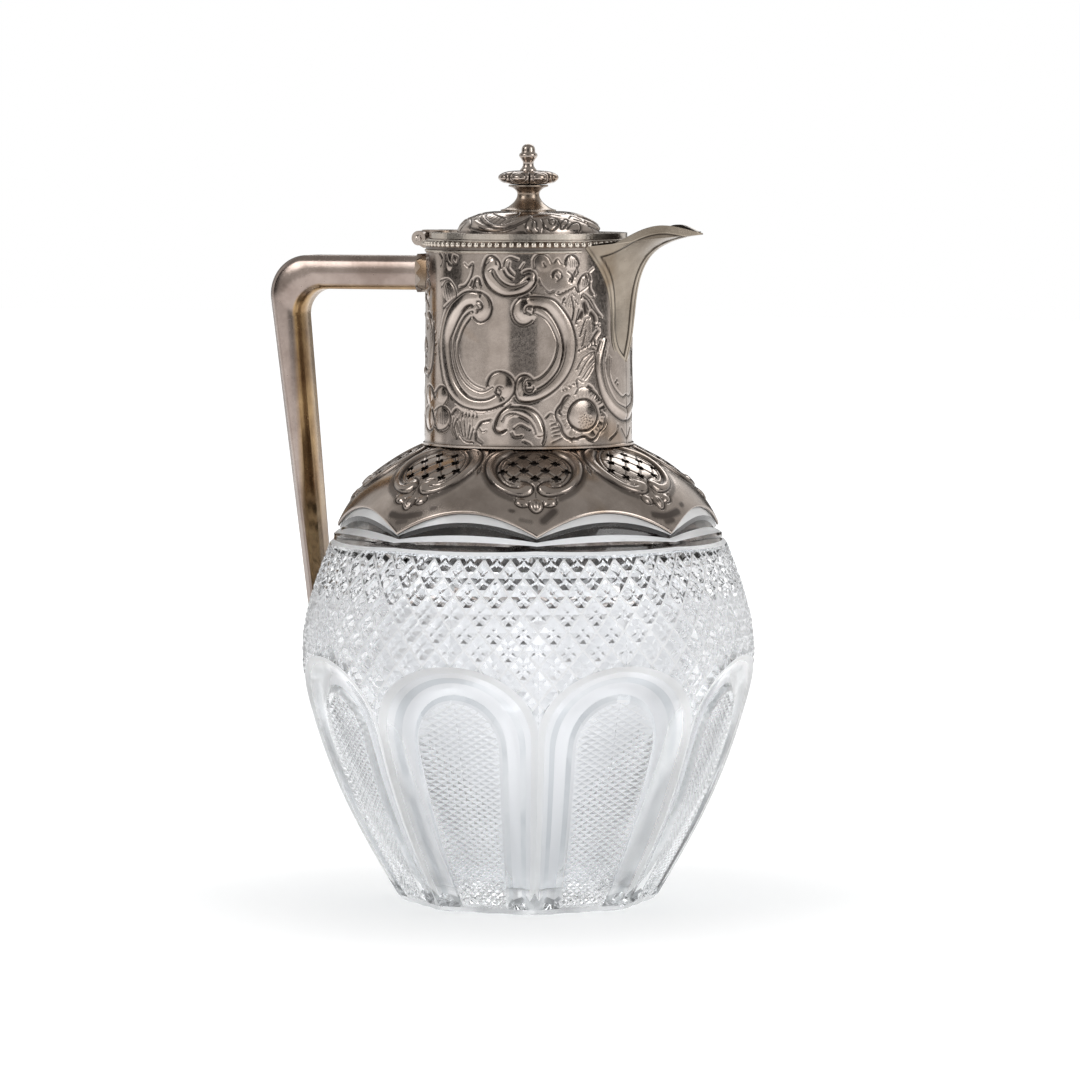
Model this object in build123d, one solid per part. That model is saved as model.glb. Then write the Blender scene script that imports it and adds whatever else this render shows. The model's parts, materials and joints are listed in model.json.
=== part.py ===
from build123d import *
import os
from math import acos, asin, atan2, cos, degrees, pi, radians, sin, sqrt

# Claret jug: a cut-glass body with silver mounts, a hollow handle and a hinged lid.
# Millimetres. The origin is the centre of the base, +Z is up, the spout points to +X and the handle to -X.

os.makedirs("parts", exist_ok=True)

# ---------------------------------------------------------------- driving dimensions
FIT = 0.2                     # space between a mount and the curved surface it is seated on
RUNNING = 0.4                 # space between the lid and what it passes
PIN_FIT = 0.05                # radial space of the hinge pin in the lid's knuckle
SEAT_GAP = 0.05               # bond line between pieces that are soldered or cemented together

PANELS = 8                    # arched panels, scallops and cartouches round the jug
PITCH = 360 / PANELS

# glass
BASE_RADIUS = 44.6
HEEL_HEIGHT = 2.0             # small bevel that the jug stands on
HEEL_BEVEL = 1.8
BELLY_RADIUS = 80.4
BELLY_HEIGHT = 91.6
FOOT_MID_RADIUS = 60.9        # outline between the heel and the belly
FOOT_MID_HEIGHT = 27.2
WAIST_RADIUS = 75.5
WAIST_HEIGHT = 63.0
EDGE_RADIUS = 69.2            # outline where the silver shoulder begins
EDGE_HEIGHT = 131.0
GLASS_WALL = 6.0
GLASS_BOTTOM = 11.0
GLASS_NECK_RADIUS = 33.5
GLASS_NECK_BORE = 29.0
GLASS_NECK_TOP = 185.0
BORE_LENGTH = 26.0            # straight part of the bore in the neck
FLOOR_STEP = 2.5              # the floor inside is this much smaller than the wall alone would leave it
BILGE_RISE = 10.5             # the inner outline bends this far above the outer one's middle
BELLY_EXTRA = 1.0             # extra wall at the belly
PANEL_TOP = 90.0              # crown of the arch
PANEL_SPRING = 65.5           # height where two arches meet
FIELD_RAISE = 0.9             # inner field of a panel, above the hollow band round it
FIELD_TOP = 77.0
FIELD_SHOULDER = 60.0
FIELD_BOTTOM = -2.0
FIELD_HALF_TOP = 15.4
FIELD_HALF_BOTTOM = 8.3
CHANNEL_WIDTH = 6.0           # hollow channel round the field
CHANNEL_DEPTH = 1.4
CHANNEL_FOOT = 3.5            # the channel ends this far above the base
FLUTE_RADIUS = 3.0            # wheel that cuts the scalloped hollow flutes
FLUTE_DEPTH = 1.5
FLUTE_ARCH = 136.2            # first row of flutes: height at mid-scallop and at the cusp
FLUTE_CUSP = 132.8
FLUTE2_ARCH = 130.2           # second row
FLUTE2_CUSP = 129.7
FLUTE_TILT = 0.6              # how far the wheel leans outward
STAR_RAYS = 24
STAR_DEPTH = 1.3
STAR_WIDTH = 5.0
STAR_CENTRE = 9.0

# silver shoulder: an arc of revolution
SHOULDER_ARC_RADIUS = 50.8
SHOULDER_ARC_X = 21.34
SHOULDER_ARC_Z = 113.85
COLLAR_WALL = 1.0
COLLAR_CUSP_HEIGHT = 134.0
COLLAR_ARCH_HEIGHT = 142.0
CROSS_PITCH = 7.4             # pierced crosses: spacing along and across the rows
CROSS_ROW = 4.3
CROSS_SPAN = 3.1
CROSS_ARM = 0.9
CROSS_CENTRE_RADIUS = 47.8    # where the middle of a cartouche lies on the shoulder

# silver neck
NECK_FOOT_RADIUS = 36.9
NECK_FOOT_HEIGHT = 162.2
NECK_TOP_RADIUS = 36.2
NECK_TOP_HEIGHT = 234.6
NECK_WALL = 1.0
PLASTER_SHORT = 1.0           # the plaster stops this far below the glass lip
PLASTER_LIFT = 1.5            # and starts this far above the sleeve's foot
RIM_BAND_HEIGHT = 0.8
RIM_BAND_WALL = 1.5
BEAD_PITCH = 2.6
BEAD_RADIUS = 1.15
BEAD_RISE = 1.0
WIRE_WALL = 0.5
WIRE_HEIGHT = 2.1
WIRE_DROP = 0.9               # top of the beaded wire below the top of the rim band
FILLET_HEIGHT = 231.3
FILLET_RADIUS = 0.55
JOINT_WIRE_RADIUS = 0.6
HINGE_GAP = 13.5              # half angle that the wires leave free for the hinge
SPOUT_GAP = 39.5              # half angle that the wires leave free for the spout

# spout
SPOUT_WALL = 1.2
SPOUT_STRIP = 2.9             # width of the raised strips along the spout's edges
SPOUT_RECESS = 0.5
SPOUT_BULGE = 2.6             # how far the sides swell out at the lip
SPOUT_HOLLOW = 0.3            # and how far they are hollow at the foot
SPOUT_BACK = 14.0             # how far the spout's sections run back into the neck
LIP_REACH = 65.1
LIP_HEIGHT = 237.2
SPOUT_CREST = 240.5           # highest point of the spout's side edges
SPOUT_FOOT = 191.0
SKY = 252.0                   # height above all of the spout, where its cutters end

# handle
HANDLE_WIDTH = 15.0
HANDLE_CHAMFER = 2.4
HANDLE_WALL = 1.1
ARM_TOP = 229.0
ARM_DEPTH = 12.0
HANDLE_REACH = 98.4           # outer face of the leg, extended up to the arm's top
HANDLE_FOOT_REACH = 80.0      # the same face at the foot
LEG_INNER_TOP = 85.9          # inner face of the leg under the arm
LEG_INNER_FOOT = 74.9
LEG_END = 85.0                # the leg's outline runs down to here, into the glass
CORNER_OUTER = 14.0
CORNER_INNER = 9.0
SOCKET_LENGTH = 3.5
SOCKET_RISE = 0.7
FOOT_PLATE = 1.0

# hinge
PIN_X = -39.0
PIN_Z = 235.4
PIN_RADIUS = 1.2
PIN_PROUD = 0.2               # each end of the pin outside the fork
KNUCKLE_RADIUS = 2.6
HINGE_WIDTH = 14.0
SADDLE_PROUD = 0.9            # how far the fork's foot stands out from the neck
SADDLE_DEEP = 1.5             # and how far it reaches in before it is fitted to the neck
SADDLE_LIFT = 0.1             # space above the moulding under the fork
TONGUE_WIDTH = 5.0
TONGUE_SPACE = 0.3            # at each side of the tongue
TONGUE_PLATE = 0.8
TONGUE_PLATE_WIDTH = 11.0
TONGUE_REACH = 7.5            # length of the plate on the lid
TONGUE_EDGE = 0.35            # the plate's end stands this far out from the flange
WEB_RISE = 0.6                # underside of the web above the pin's centre

# lid
LID_RADIUS = 35.0
LID_UNDER = 235.7
FLANGE_THICK = 1.8
DOME_RADIUS = 25.2
DOME_RISE = 7.6
DOME_WALL = 1.0
DOME_CROWN = 9.2
BEZEL_DEPTH = 3.0
BEZEL_WALL = 0.9
STUD_RADIUS = 1.5
STUD_PROUD = 0.6              # end of the stud below the nut
NUT_RADIUS = 3.4
NUT_HEIGHT = 2.4
WASHER_RADIUS = 5.0
WASHER_THICK = 0.8
PEDESTAL_HEIGHT = 9.2
PEDESTAL_FOOT = 9.8           # radii of the spool at its foot, waist and top
PEDESTAL_WAIST = 3.9
PEDESTAL_TOP = 7.0
PEDESTAL_EDGE = 0.5           # height of the plain edge at its foot
DISC_RADIUS = 10.8
DISC_LOBES = 8
DISC_THICK = 5.2
DISC_SEAT = 6.5               # flat under the disc
DISC_FLAT = 4.0               # and on top of it
KNOP_RADIUS = 3.3
KNOP_HEIGHT = 9.4


# ---------------------------------------------------------------- helpers
def outline(*edges):
    """Closed face in the (radius, height) plane."""
    return Plane.XZ * make_face(list(edges))


def turned(*edges):
    """Solid turned about the jug's axis."""
    return revolve(outline(*edges), Axis.Z)


def ring(inner, outer, low, high):
    """Plain turned ring."""
    corners = Polyline((inner, low), (outer, low), (outer, high), (inner, high), close=True)
    return turned(*corners.edges())


def arc_of(face, start, end):
    """The same section turned only from one angle to another."""
    return Rot(0, 0, start) * revolve(face, Axis.Z, end - start)


def shoulder_radius(height, inset):
    """Radius of the shoulder's arc at a height, measured the given distance inside the silver."""
    return SHOULDER_ARC_X + sqrt((SHOULDER_ARC_RADIUS - inset) ** 2 - (height - SHOULDER_ARC_Z) ** 2)


def shoulder_height(radius, inset):
    """Height of the shoulder's arc at a radius."""
    return SHOULDER_ARC_Z + sqrt((SHOULDER_ARC_RADIUS - inset) ** 2 - (radius - SHOULDER_ARC_X) ** 2)


def shoulder_arc(inset, low_z, high_r):
    """Arc of the shoulder from a low height up to an inner radius."""
    reach = SHOULDER_ARC_RADIUS - inset
    start = asin((low_z - SHOULDER_ARC_Z) / reach)
    end = acos((high_r - SHOULDER_ARC_X) / reach)
    points = [
        (SHOULDER_ARC_X + reach * cos(angle), SHOULDER_ARC_Z + reach * sin(angle))
        for angle in (start, (start + end) / 2, end)
    ]
    return ThreePointArc(*points), points[0], points[2]


def neck_radius(height):
    """Outer radius of the tapered silver neck."""
    share = (height - NECK_FOOT_HEIGHT) / (NECK_TOP_HEIGHT - NECK_FOOT_HEIGHT)
    return NECK_FOOT_RADIUS + share * (NECK_TOP_RADIUS - NECK_FOOT_RADIUS)


def neck_cone(outside, low, high):
    """Solid cone that follows the neck, grown by a distance."""
    corners = [(0, low), (neck_radius(low) + outside, low), (neck_radius(high) + outside, high), (0, high)]
    return turned(*Polyline(*corners, close=True).edges())


def node(name, solid):
    """Write one piece."""
    solid.label = name
    export_step(solid, f"parts/{name}.step")


# ---------------------------------------------------------------- glass
def body_curve(grow=0.0):
    """Outer outline of the glass from the heel to the shoulder, grown by a distance."""
    return Spline(
        (BASE_RADIUS + HEEL_BEVEL + grow, HEEL_HEIGHT),
        (FOOT_MID_RADIUS + grow, FOOT_MID_HEIGHT),
        (WAIST_RADIUS + grow, WAIST_HEIGHT),
        (BELLY_RADIUS + grow, BELLY_HEIGHT),
        (EDGE_RADIUS + grow, EDGE_HEIGHT),
    )


def glass_outside():
    """Turned blank of the glass, without its bore."""
    under = COLLAR_WALL + FIT
    arc, low, high = shoulder_arc(under, EDGE_HEIGHT + under, GLASS_NECK_RADIUS + FIT)
    neck_low = high[1] + 1.0
    edges = [
        Line((0, 0), (BASE_RADIUS, 0)),
        Line((BASE_RADIUS, 0), (BASE_RADIUS + HEEL_BEVEL, HEEL_HEIGHT)),
        body_curve(),
        Line((EDGE_RADIUS, EDGE_HEIGHT), low),
        arc,
        Line(high, (GLASS_NECK_RADIUS, neck_low)),
        Line((GLASS_NECK_RADIUS, neck_low), (GLASS_NECK_RADIUS, GLASS_NECK_TOP)),
        Line((GLASS_NECK_RADIUS, GLASS_NECK_TOP), (0, GLASS_NECK_TOP)),
        Line((0, GLASS_NECK_TOP), (0, 0)),
    ]
    return turned(*edges)


def glass_inside():
    """The space inside the glass."""
    deep = SHOULDER_ARC_RADIUS - COLLAR_WALL - FIT - GLASS_WALL
    mid = (SHOULDER_ARC_X + deep * cos(radians(45)), SHOULDER_ARC_Z + deep * sin(radians(45)))
    floor_radius = BASE_RADIUS - GLASS_WALL - FLOOR_STEP
    neck_low = GLASS_NECK_TOP - BORE_LENGTH
    edges = [
        Line((0, GLASS_BOTTOM), (floor_radius, GLASS_BOTTOM)),
        Spline(
            (floor_radius, GLASS_BOTTOM),
            (FOOT_MID_RADIUS - GLASS_WALL, FOOT_MID_HEIGHT + BILGE_RISE),
            (BELLY_RADIUS - GLASS_WALL - BELLY_EXTRA, BELLY_HEIGHT),
            mid,
            (GLASS_NECK_BORE, neck_low),
        ),
        Line((GLASS_NECK_BORE, neck_low), (GLASS_NECK_BORE, GLASS_NECK_TOP + 1)),
        Line((GLASS_NECK_BORE, GLASS_NECK_TOP + 1), (0, GLASS_NECK_TOP + 1)),
        Line((0, GLASS_NECK_TOP + 1), (0, GLASS_BOTTOM)),
    ]
    return turned(*edges)


def radius_on(curve, height):
    """Radius of an outline curve at a height."""
    low, high = 0.0, 1.0
    for _ in range(40):
        middle = (low + high) / 2
        if (curve @ middle).Y < height:
            low = middle
        else:
            high = middle
    return (curve @ low).X


def field_face(grow, low):
    """Outline of a panel's field, grown sideways and upwards by a distance, down to a height."""
    taper = (FIELD_HALF_TOP - FIELD_HALF_BOTTOM) / (FIELD_SHOULDER - FIELD_BOTTOM)
    side = FIELD_HALF_TOP + grow
    foot = side - taper * (FIELD_SHOULDER - low)
    return make_face(
        [
            Line((-foot, low), (foot, low)),
            Line((foot, low), (side, FIELD_SHOULDER)),
            ThreePointArc((side, FIELD_SHOULDER), (0, FIELD_TOP + grow), (-side, FIELD_SHOULDER)),
            Line((-side, FIELD_SHOULDER), (-foot, low)),
        ]
    )


def panel_cutter():
    """What one arched panel takes off, at the +X side: a flat face with a hollow channel round a raised field."""
    curve = body_curve()
    flat = cos(pi / PANELS)
    face = [(radius_on(curve, HEEL_HEIGHT + z) * flat, HEEL_HEIGHT + z) for z in (0.5, 25, 50)]
    spring = (radius_on(curve, PANEL_SPRING) * flat, PANEL_SPRING)
    crown = (radius_on(curve, PANEL_TOP) - 0.05, PANEL_TOP)
    foot = (face[0][0] - 2.0, -1.0)
    past = (crown[0] + 3.2, PANEL_TOP + 7.0)
    profile = Spline(foot, *face, spring, crown, past)
    far = BELLY_RADIUS + 10
    side = [profile, Line(past, (far, past[1])), Line((far, past[1]), (far, foot[1])), Line((far, foot[1]), foot)]
    half_width = BELLY_RADIUS * sin(pi / PANELS) + 4
    slab = extrude(outline(*side), half_width, both=True)
    field = extrude(Plane.YZ * field_face(0, FIELD_BOTTOM), far)
    around = extrude(Plane.YZ * (field_face(CHANNEL_WIDTH, CHANNEL_FOOT) - field_face(0, FIELD_BOTTOM)), far)
    raised = (Pos(FIELD_RAISE, 0, 0) * slab) & field
    channel = (Pos(-CHANNEL_DEPTH, 0, 0) * slab) & around
    return [slab - field, raised, channel]


def flute_cutter(arch_z, cusp_z, arch_r, cusp_r):
    """One scallop of a hollow flute, at the +X side."""
    lift = FLUTE_RADIUS - FLUTE_DEPTH
    half = radians(PITCH / 2)
    ends = [
        (
            (cusp_r + lift * FLUTE_TILT) * cos(side * half),
            (cusp_r + lift * FLUTE_TILT) * sin(side * half),
            cusp_z + lift * sqrt(1 - FLUTE_TILT ** 2),
        )
        for side in (-1, 1)
    ]
    top = (arch_r + lift * FLUTE_TILT, 0, arch_z + lift * sqrt(1 - FLUTE_TILT ** 2))
    path = ThreePointArc(ends[0], top, ends[1])
    return sweep(Plane(path @ 0, z_dir=path % 0) * Circle(FLUTE_RADIUS), path)


def star_cutter():
    """One ray of the star under the base: nothing near the centre, deepest at the edge."""
    length = BASE_RADIUS + 6 - STAR_CENTRE
    deep = 3 * STAR_DEPTH
    half = 1.5 * STAR_WIDTH
    section = Plane.YZ * make_face(Polyline((-half, -deep), (half, -deep), (0, 0), close=True).edges())
    slope = degrees(atan2(STAR_DEPTH, BASE_RADIUS - STAR_CENTRE))
    return Pos(STAR_CENTRE, 0, 0) * Rot(0, -slope, 0) * extrude(section, length)


def glass_vessel():
    """The cut-glass body."""
    curve = body_curve()
    under = COLLAR_WALL + FIT
    vessel = glass_outside() - glass_inside()
    panels = [Rot(0, 0, PITCH * n) * part for n in range(PANELS) for part in panel_cutter()]
    vessel = vessel - panels
    row_one = flute_cutter(
        FLUTE_ARCH, FLUTE_CUSP, shoulder_radius(FLUTE_ARCH, under), shoulder_radius(FLUTE_CUSP, under)
    )
    row_two = flute_cutter(
        FLUTE2_ARCH, FLUTE2_CUSP, radius_on(curve, FLUTE2_ARCH), radius_on(curve, FLUTE2_CUSP)
    )
    vessel = vessel - [Rot(0, 0, PITCH * n) * row_one for n in range(PANELS)]
    vessel = vessel - [Rot(0, 0, PITCH * n) * row_two for n in range(PANELS)]
    vessel = vessel - [Rot(0, 0, (n + 0.5) * 360 / STAR_RAYS) * star_cutter() for n in range(STAR_RAYS)]
    return vessel


def glass_envelope(grow):
    """Plain turned body that follows the belly, for scribing the handle to it."""
    curve = body_curve(grow)
    low = curve @ 0
    high = curve @ 1
    return turned(
        Line((0, low.Y), (low.X, low.Y)), curve, Line((high.X, high.Y), (0, high.Y)), Line((0, high.Y), (0, low.Y))
    )


# ---------------------------------------------------------------- silver shoulder
def cross_holes():
    """The pierced crosses of one cartouche, as one cutter at the angle 0."""
    height = shoulder_height(CROSS_CENTRE_RADIUS, 0)
    outward = Vector(CROSS_CENTRE_RADIUS - SHOULDER_ARC_X, 0, height - SHOULDER_ARC_Z)
    place = Plane(origin=(CROSS_CENTRE_RADIUS, 0, height), x_dir=(0, 1, 0), z_dir=outward)
    rows = [(1.5, 2), (0.5, 3), (-0.5, 4), (-1.5, 3)]
    spots = [
        (CROSS_PITCH * (column - (count - 1) / 2), CROSS_ROW * row)
        for row, count in rows
        for column in range(count)
    ]
    cross = Rectangle(CROSS_SPAN, CROSS_ARM) + Rectangle(CROSS_ARM, CROSS_SPAN)
    pattern = [Pos(x, y) * cross for x, y in spots]
    deep = 6 * COLLAR_WALL
    return [extrude(place * shape, deep, both=True) for shape in pattern]


def shoulder_collar():
    """Domed silver shoulder with a scalloped edge and pierced cartouches."""
    low_z = COLLAR_CUSP_HEIGHT - 3
    high_r = NECK_FOOT_RADIUS - NECK_WALL
    outer, outer_low, outer_high = shoulder_arc(0, low_z, high_r)
    inner, inner_low, inner_high = shoulder_arc(COLLAR_WALL, low_z, high_r)
    shell = turned(outer, Line(outer_high, inner_high), inner, Line(inner_low, outer_low))
    half_chord = shoulder_radius(COLLAR_CUSP_HEIGHT, 0) * sin(radians(PITCH / 2))
    rise = COLLAR_ARCH_HEIGHT - COLLAR_CUSP_HEIGHT
    arch = (half_chord ** 2 + rise ** 2) / (2 * rise)
    disc = Plane.YZ * (Pos(0, COLLAR_ARCH_HEIGHT - arch) * Circle(arch))
    scallop = Pos(NECK_FOOT_RADIUS, 0, 0) * extrude(disc, BELLY_RADIUS)
    shell = shell - [Rot(0, 0, PITCH * n) * scallop for n in range(PANELS)]
    holes = cross_holes()
    return shell - [Rot(0, 0, PITCH * (n + 0.5)) * hole for n in range(PANELS) for hole in holes]


# ---------------------------------------------------------------- silver neck
NECK_LOW = shoulder_height(NECK_FOOT_RADIUS - NECK_WALL, 0)


def moulding(radius, height, rise, start, end):
    """Small three-sided moulding round the neck."""
    corners = [(radius, height - rise), (radius + rise * 0.75, height - rise / 2)]
    corners += [(radius + rise * 0.75, height + rise / 2), (radius, height + rise)]
    return arc_of(outline(*Polyline(*corners, close=True).edges()), start, end)


def beaded_wire(side):
    """Row of beads on one side of the neck, between the hinge and the spout."""
    top = NECK_TOP_HEIGHT + RIM_BAND_HEIGHT - WIRE_DROP
    seat = neck_radius(top - WIRE_HEIGHT) + SEAT_GAP
    bottom, face = top - WIRE_HEIGHT, seat + WIRE_WALL
    section = Polyline((seat, bottom), (face, bottom), (face, top), (seat, top), close=True)
    start, end = (SPOUT_GAP, 180 - HINGE_GAP) if side > 0 else (180 + HINGE_GAP, 360 - SPOUT_GAP)
    wire = arc_of(outline(*section.edges()), start, end)
    face_radius = face - SEAT_GAP
    step = degrees(BEAD_PITCH / face_radius)
    count = int((end - start) / step)
    first = start + (end - start - (count - 1) * step) / 2
    beads = []
    for n in range(count):
        angle = radians(first + n * step)
        outward = (cos(angle), sin(angle), 0)
        place = Plane(
            origin=(face_radius * cos(angle), face_radius * sin(angle), top - WIRE_HEIGHT / 2),
            x_dir=(0, 0, 1),
            z_dir=outward,
        )
        beads.append(extrude(place * RegularPolygon(BEAD_RADIUS, 6), BEAD_RISE, taper=28))
    return wire + beads


# ---------------------------------------------------------------- spout
def on_neck(angle, height):
    """Point on the near side of the neck's surface, at an angle from the spout."""
    radius = neck_radius(height)
    return Vector(radius * cos(radians(angle)), -radius * sin(radians(angle)), height)


def border_curve():
    """Line where the near side of the spout meets the neck."""
    marks = [(0.5, 0.0), (15.0, 5.6), (18.0, 17.0), (21.5, 28.0), (31.0, 37.0), (38.0, 42.0)]
    return Spline(*[on_neck(angle, SPOUT_FOOT + rise) for angle, rise in marks])


def keel_curve():
    """Front edge of the spout, from its foot to the lip."""
    return Spline(
        (NECK_FOOT_RADIUS - 0.3, 0, SPOUT_FOOT),
        (LIP_REACH - 26.0, 0, SPOUT_FOOT + 11.0),
        (LIP_REACH - 24.0, 0, SPOUT_FOOT + 27.0),
        (LIP_REACH - 18.0, 0, LIP_HEIGHT - 6.2),
        (LIP_REACH - 8.0, 0, LIP_HEIGHT - 1.3),
        (LIP_REACH, 0, LIP_HEIGHT),
    )


def spout_section(border, keel, along, wall):
    """Wedge-shaped section of the spout, open towards the neck, the given distance inside it."""
    near = border @ along
    front = keel @ along
    middle = Vector(near.X, 0, near.Z)
    inward = (middle - front).normalized()
    half = -near.Y
    depth = (middle - front).length
    shrink = wall * sqrt(half ** 2 + depth ** 2)
    front = front + inward * (shrink / half)
    near = Vector(near.X, -(half - min(wall, shrink / depth)), near.Z)
    lift = Vector(0, 0, wall * along ** 3)
    front = front + lift
    near = near + lift
    bulge = SPOUT_BULGE * along ** 2 - SPOUT_HOLLOW
    chord = (front - near).normalized()
    outward = Vector(0, -1, 0) - chord * chord.dot(Vector(0, -1, 0))
    swell = (near + front) * 0.5 + outward.normalized() * bulge
    back = near + inward * SPOUT_BACK
    points = [back, near, swell, front]
    far_back, far, far_swell = [Vector(p.X, -p.Y, p.Z) for p in points[:3]]
    return make_face(
        [
            Line(back, near),
            ThreePointArc(near, swell, front),
            ThreePointArc(front, far_swell, far),
            Line(far, far_back),
            Line(far_back, back),
        ]
    )


def spout_body(wall):
    """Spout filled in, grown up past its side edges."""
    border = border_curve()
    keel = keel_curve()
    shares = [0.03, 0.15, 0.3, 0.45, 0.6, 0.75, 0.9, 1.0]
    if wall:
        shares = [0.1] + shares[1:]
    sections = [spout_section(border, keel, share, wall) for share in shares]
    overlap = 0.4
    rise = Vector(0, 0, SPOUT_CREST + 4 - LIP_HEIGHT + overlap)
    return loft(sections) + Solid.extrude(Pos(0, 0, -overlap) * sections[-1].face(), rise)


def spout_trim():
    """Everything above the spout's side edges."""
    edge = Spline(
        (NECK_TOP_RADIUS - 14, SPOUT_FOOT + 41.2),
        (NECK_TOP_RADIUS + 0.5, SPOUT_FOOT + 42.4),
        (LIP_REACH - 18.5, SPOUT_CREST - 1.8),
        (LIP_REACH - 11.5, SPOUT_CREST),
        (LIP_REACH - 4.0, SPOUT_CREST - 1.6),
        (LIP_REACH + 1.5, LIP_HEIGHT),
    )
    start, end = edge @ 0, edge @ 1
    region = outline(edge, *Polyline(end, (end.X, SKY), (start.X, SKY), start).edges())
    return extrude(region, NECK_TOP_RADIUS, both=True)


def spout_panels():
    """What is taken off both sides of the spout, so that a raised strip stays along each edge."""
    border = border_curve()
    keel = keel_curve()
    neck_side = []
    keel_side = []
    for share in (0.2, 0.4, 0.6, 0.8, 0.95):
        near, front = border @ share, keel @ share
        strip = (front - near).normalized() * SPOUT_STRIP
        neck_side.append(((near + strip).X, (near + strip).Z))
        keel_side.append(((front - strip).X, (front - strip).Z))
    left, right = Spline(*neck_side), Spline(*keel_side)
    over = Polyline(left @ 1, ((left @ 1).X, SKY), ((right @ 1).X, SKY), right @ 1)
    region = outline(left, *over.edges(), right, Line(right @ 0, left @ 0))
    region = extrude(region, NECK_TOP_RADIUS, both=True) - Pos(0, 0, -SPOUT_STRIP) * spout_trim()
    return region - spout_body(SPOUT_RECESS)


# ---------------------------------------------------------------- handle
def handle_outline(inset):
    """Side view of the handle, the given distance inside its faces."""
    low = LEG_END
    outer_slope = (HANDLE_REACH - HANDLE_FOOT_REACH) / (ARM_TOP - low)
    start = -(neck_radius(ARM_TOP - ARM_DEPTH / 2) + SOCKET_LENGTH)
    top = ARM_TOP - inset
    under = ARM_TOP - ARM_DEPTH + inset
    corners = [
        (start, top),
        (-(HANDLE_REACH - inset * (1 + outer_slope)), top),
        (-(HANDLE_FOOT_REACH - inset), low),
        (-(LEG_INNER_FOOT + inset), low),
        (-(LEG_INNER_TOP + inset), under),
        (start, under),
    ]
    face = make_face(Polyline(*corners, close=True).edges())
    face = fillet(face.vertices().sort_by(Axis.X)[0], CORNER_OUTER - inset)
    inner = face.vertices().sort_by_distance((-(LEG_INNER_TOP + inset), under))[0]
    return Plane.XZ * fillet(inner, CORNER_INNER + inset)


def handle_bar(inset):
    """Octagonal bar that follows the handle, the given distance inside its faces."""
    half = HANDLE_WIDTH / 2 - inset
    bar = extrude(handle_outline(inset), half, both=True)
    sides = bar.faces().filter_by(Axis.Y)
    rims = [edge for face in sides for edge in face.edges()]
    start = bar.bounding_box().max.X
    low = bar.bounding_box().min.Z
    keep = [edge for edge in rims if edge.center().X < start - 0.1 and edge.center().Z > low + 0.1]
    return chamfer(keep, HANDLE_CHAMFER - inset)


def octagon(width, height, cut):
    """Rectangle with its corners taken off."""
    return chamfer(Rectangle(width, height).vertices(), cut)


def handle_socket():
    """Octagonal collar between the handle and the neck."""
    middle = ARM_TOP - ARM_DEPTH / 2
    section = Plane.YZ * octagon(HANDLE_WIDTH + 2 * SOCKET_RISE, ARM_DEPTH + 2 * SOCKET_RISE, HANDLE_CHAMFER)
    reach = neck_radius(middle) + SOCKET_LENGTH
    block = extrude(Pos(-reach, 0, middle) * section, SOCKET_LENGTH + 3)
    return block - neck_cone(SEAT_GAP, NECK_FOOT_HEIGHT, NECK_TOP_HEIGHT)


# ---------------------------------------------------------------- hinge
def bar_across(radius, start, end):
    """Round bar along the hinge's axis."""
    return extrude(Plane(origin=(PIN_X, start, PIN_Z), z_dir=(0, 1, 0)) * Circle(radius), end - start)


def hinge_fork():
    """The two outer knuckles on their foot."""
    half = HINGE_WIDTH / 2
    slot = TONGUE_WIDTH / 2 + TONGUE_SPACE
    low = FILLET_HEIGHT + FILLET_RADIUS + SADDLE_LIFT
    inner = SADDLE_DEEP - neck_radius(low)
    corners = [
        (PIN_X - KNUCKLE_RADIUS * 0.9, PIN_Z - KNUCKLE_RADIUS * 0.4),
        (-neck_radius(low) - SADDLE_PROUD, low),
        (inner, low),
        (inner, PIN_Z - KNUCKLE_RADIUS * 0.4),
    ]
    foot = extrude(outline(*Polyline(*corners, close=True).edges()), half, both=True)
    fork = foot + bar_across(KNUCKLE_RADIUS, -half, half)
    fork = fork - bar_across(KNUCKLE_RADIUS + RUNNING, -slot, slot)
    fork = fork - Pos(PIN_X, 0, PIN_Z + 5) * Box(3 * KNUCKLE_RADIUS, 2 * slot, 10)
    fork = fork - bar_across(PIN_RADIUS + PIN_FIT / 2, -half - 1, half + 1)
    return fork - neck_cone(SEAT_GAP, NECK_LOW, NECK_TOP_HEIGHT + 4)


def hinge_tongue():
    """The lid's middle knuckle and the plate that is fixed on the flange."""
    half = TONGUE_WIDTH / 2
    top = LID_UNDER + FLANGE_THICK
    radius = KNUCKLE_RADIUS - TONGUE_SPACE / 2
    knuckle = bar_across(radius, -half, half)
    edge = -LID_RADIUS - TONGUE_EDGE
    neck = Pos((PIN_X + edge) / 2, 0, top + TONGUE_PLATE / 2) * Box(
        edge - PIN_X + 2 * TONGUE_EDGE, TONGUE_WIDTH, TONGUE_PLATE
    )
    corners = [
        (PIN_X, PIN_Z + WEB_RISE),
        (edge, PIN_Z + WEB_RISE),
        (edge, top),
        (PIN_X, top + TONGUE_PLATE),
    ]
    web = extrude(outline(*Polyline(*corners, close=True).edges()), half, both=True)
    plate = Pos(edge + TONGUE_REACH / 2, 0, top + TONGUE_PLATE / 2) * Box(
        TONGUE_REACH, TONGUE_PLATE_WIDTH, TONGUE_PLATE
    )
    return knuckle + neck + web + plate - bar_across(PIN_RADIUS + PIN_FIT, -half - 1, half + 1)


# ---------------------------------------------------------------- lid
def dome_curve(inset):
    """Outline of the dome, the given distance inside it."""
    low = LID_UNDER + FLANGE_THICK
    return Spline(
        (DOME_RADIUS - inset, low),
        (DOME_RADIUS - 1.9 - inset, low + DOME_RISE * 0.43 - inset * 0.4),
        (DOME_RADIUS * 0.72 - inset * 0.5, low + DOME_RISE * 0.85 - inset * 0.9),
        (DOME_CROWN, low + DOME_RISE - inset),
        tangents=[(0, 1), (-1, 0)],
    )


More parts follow.
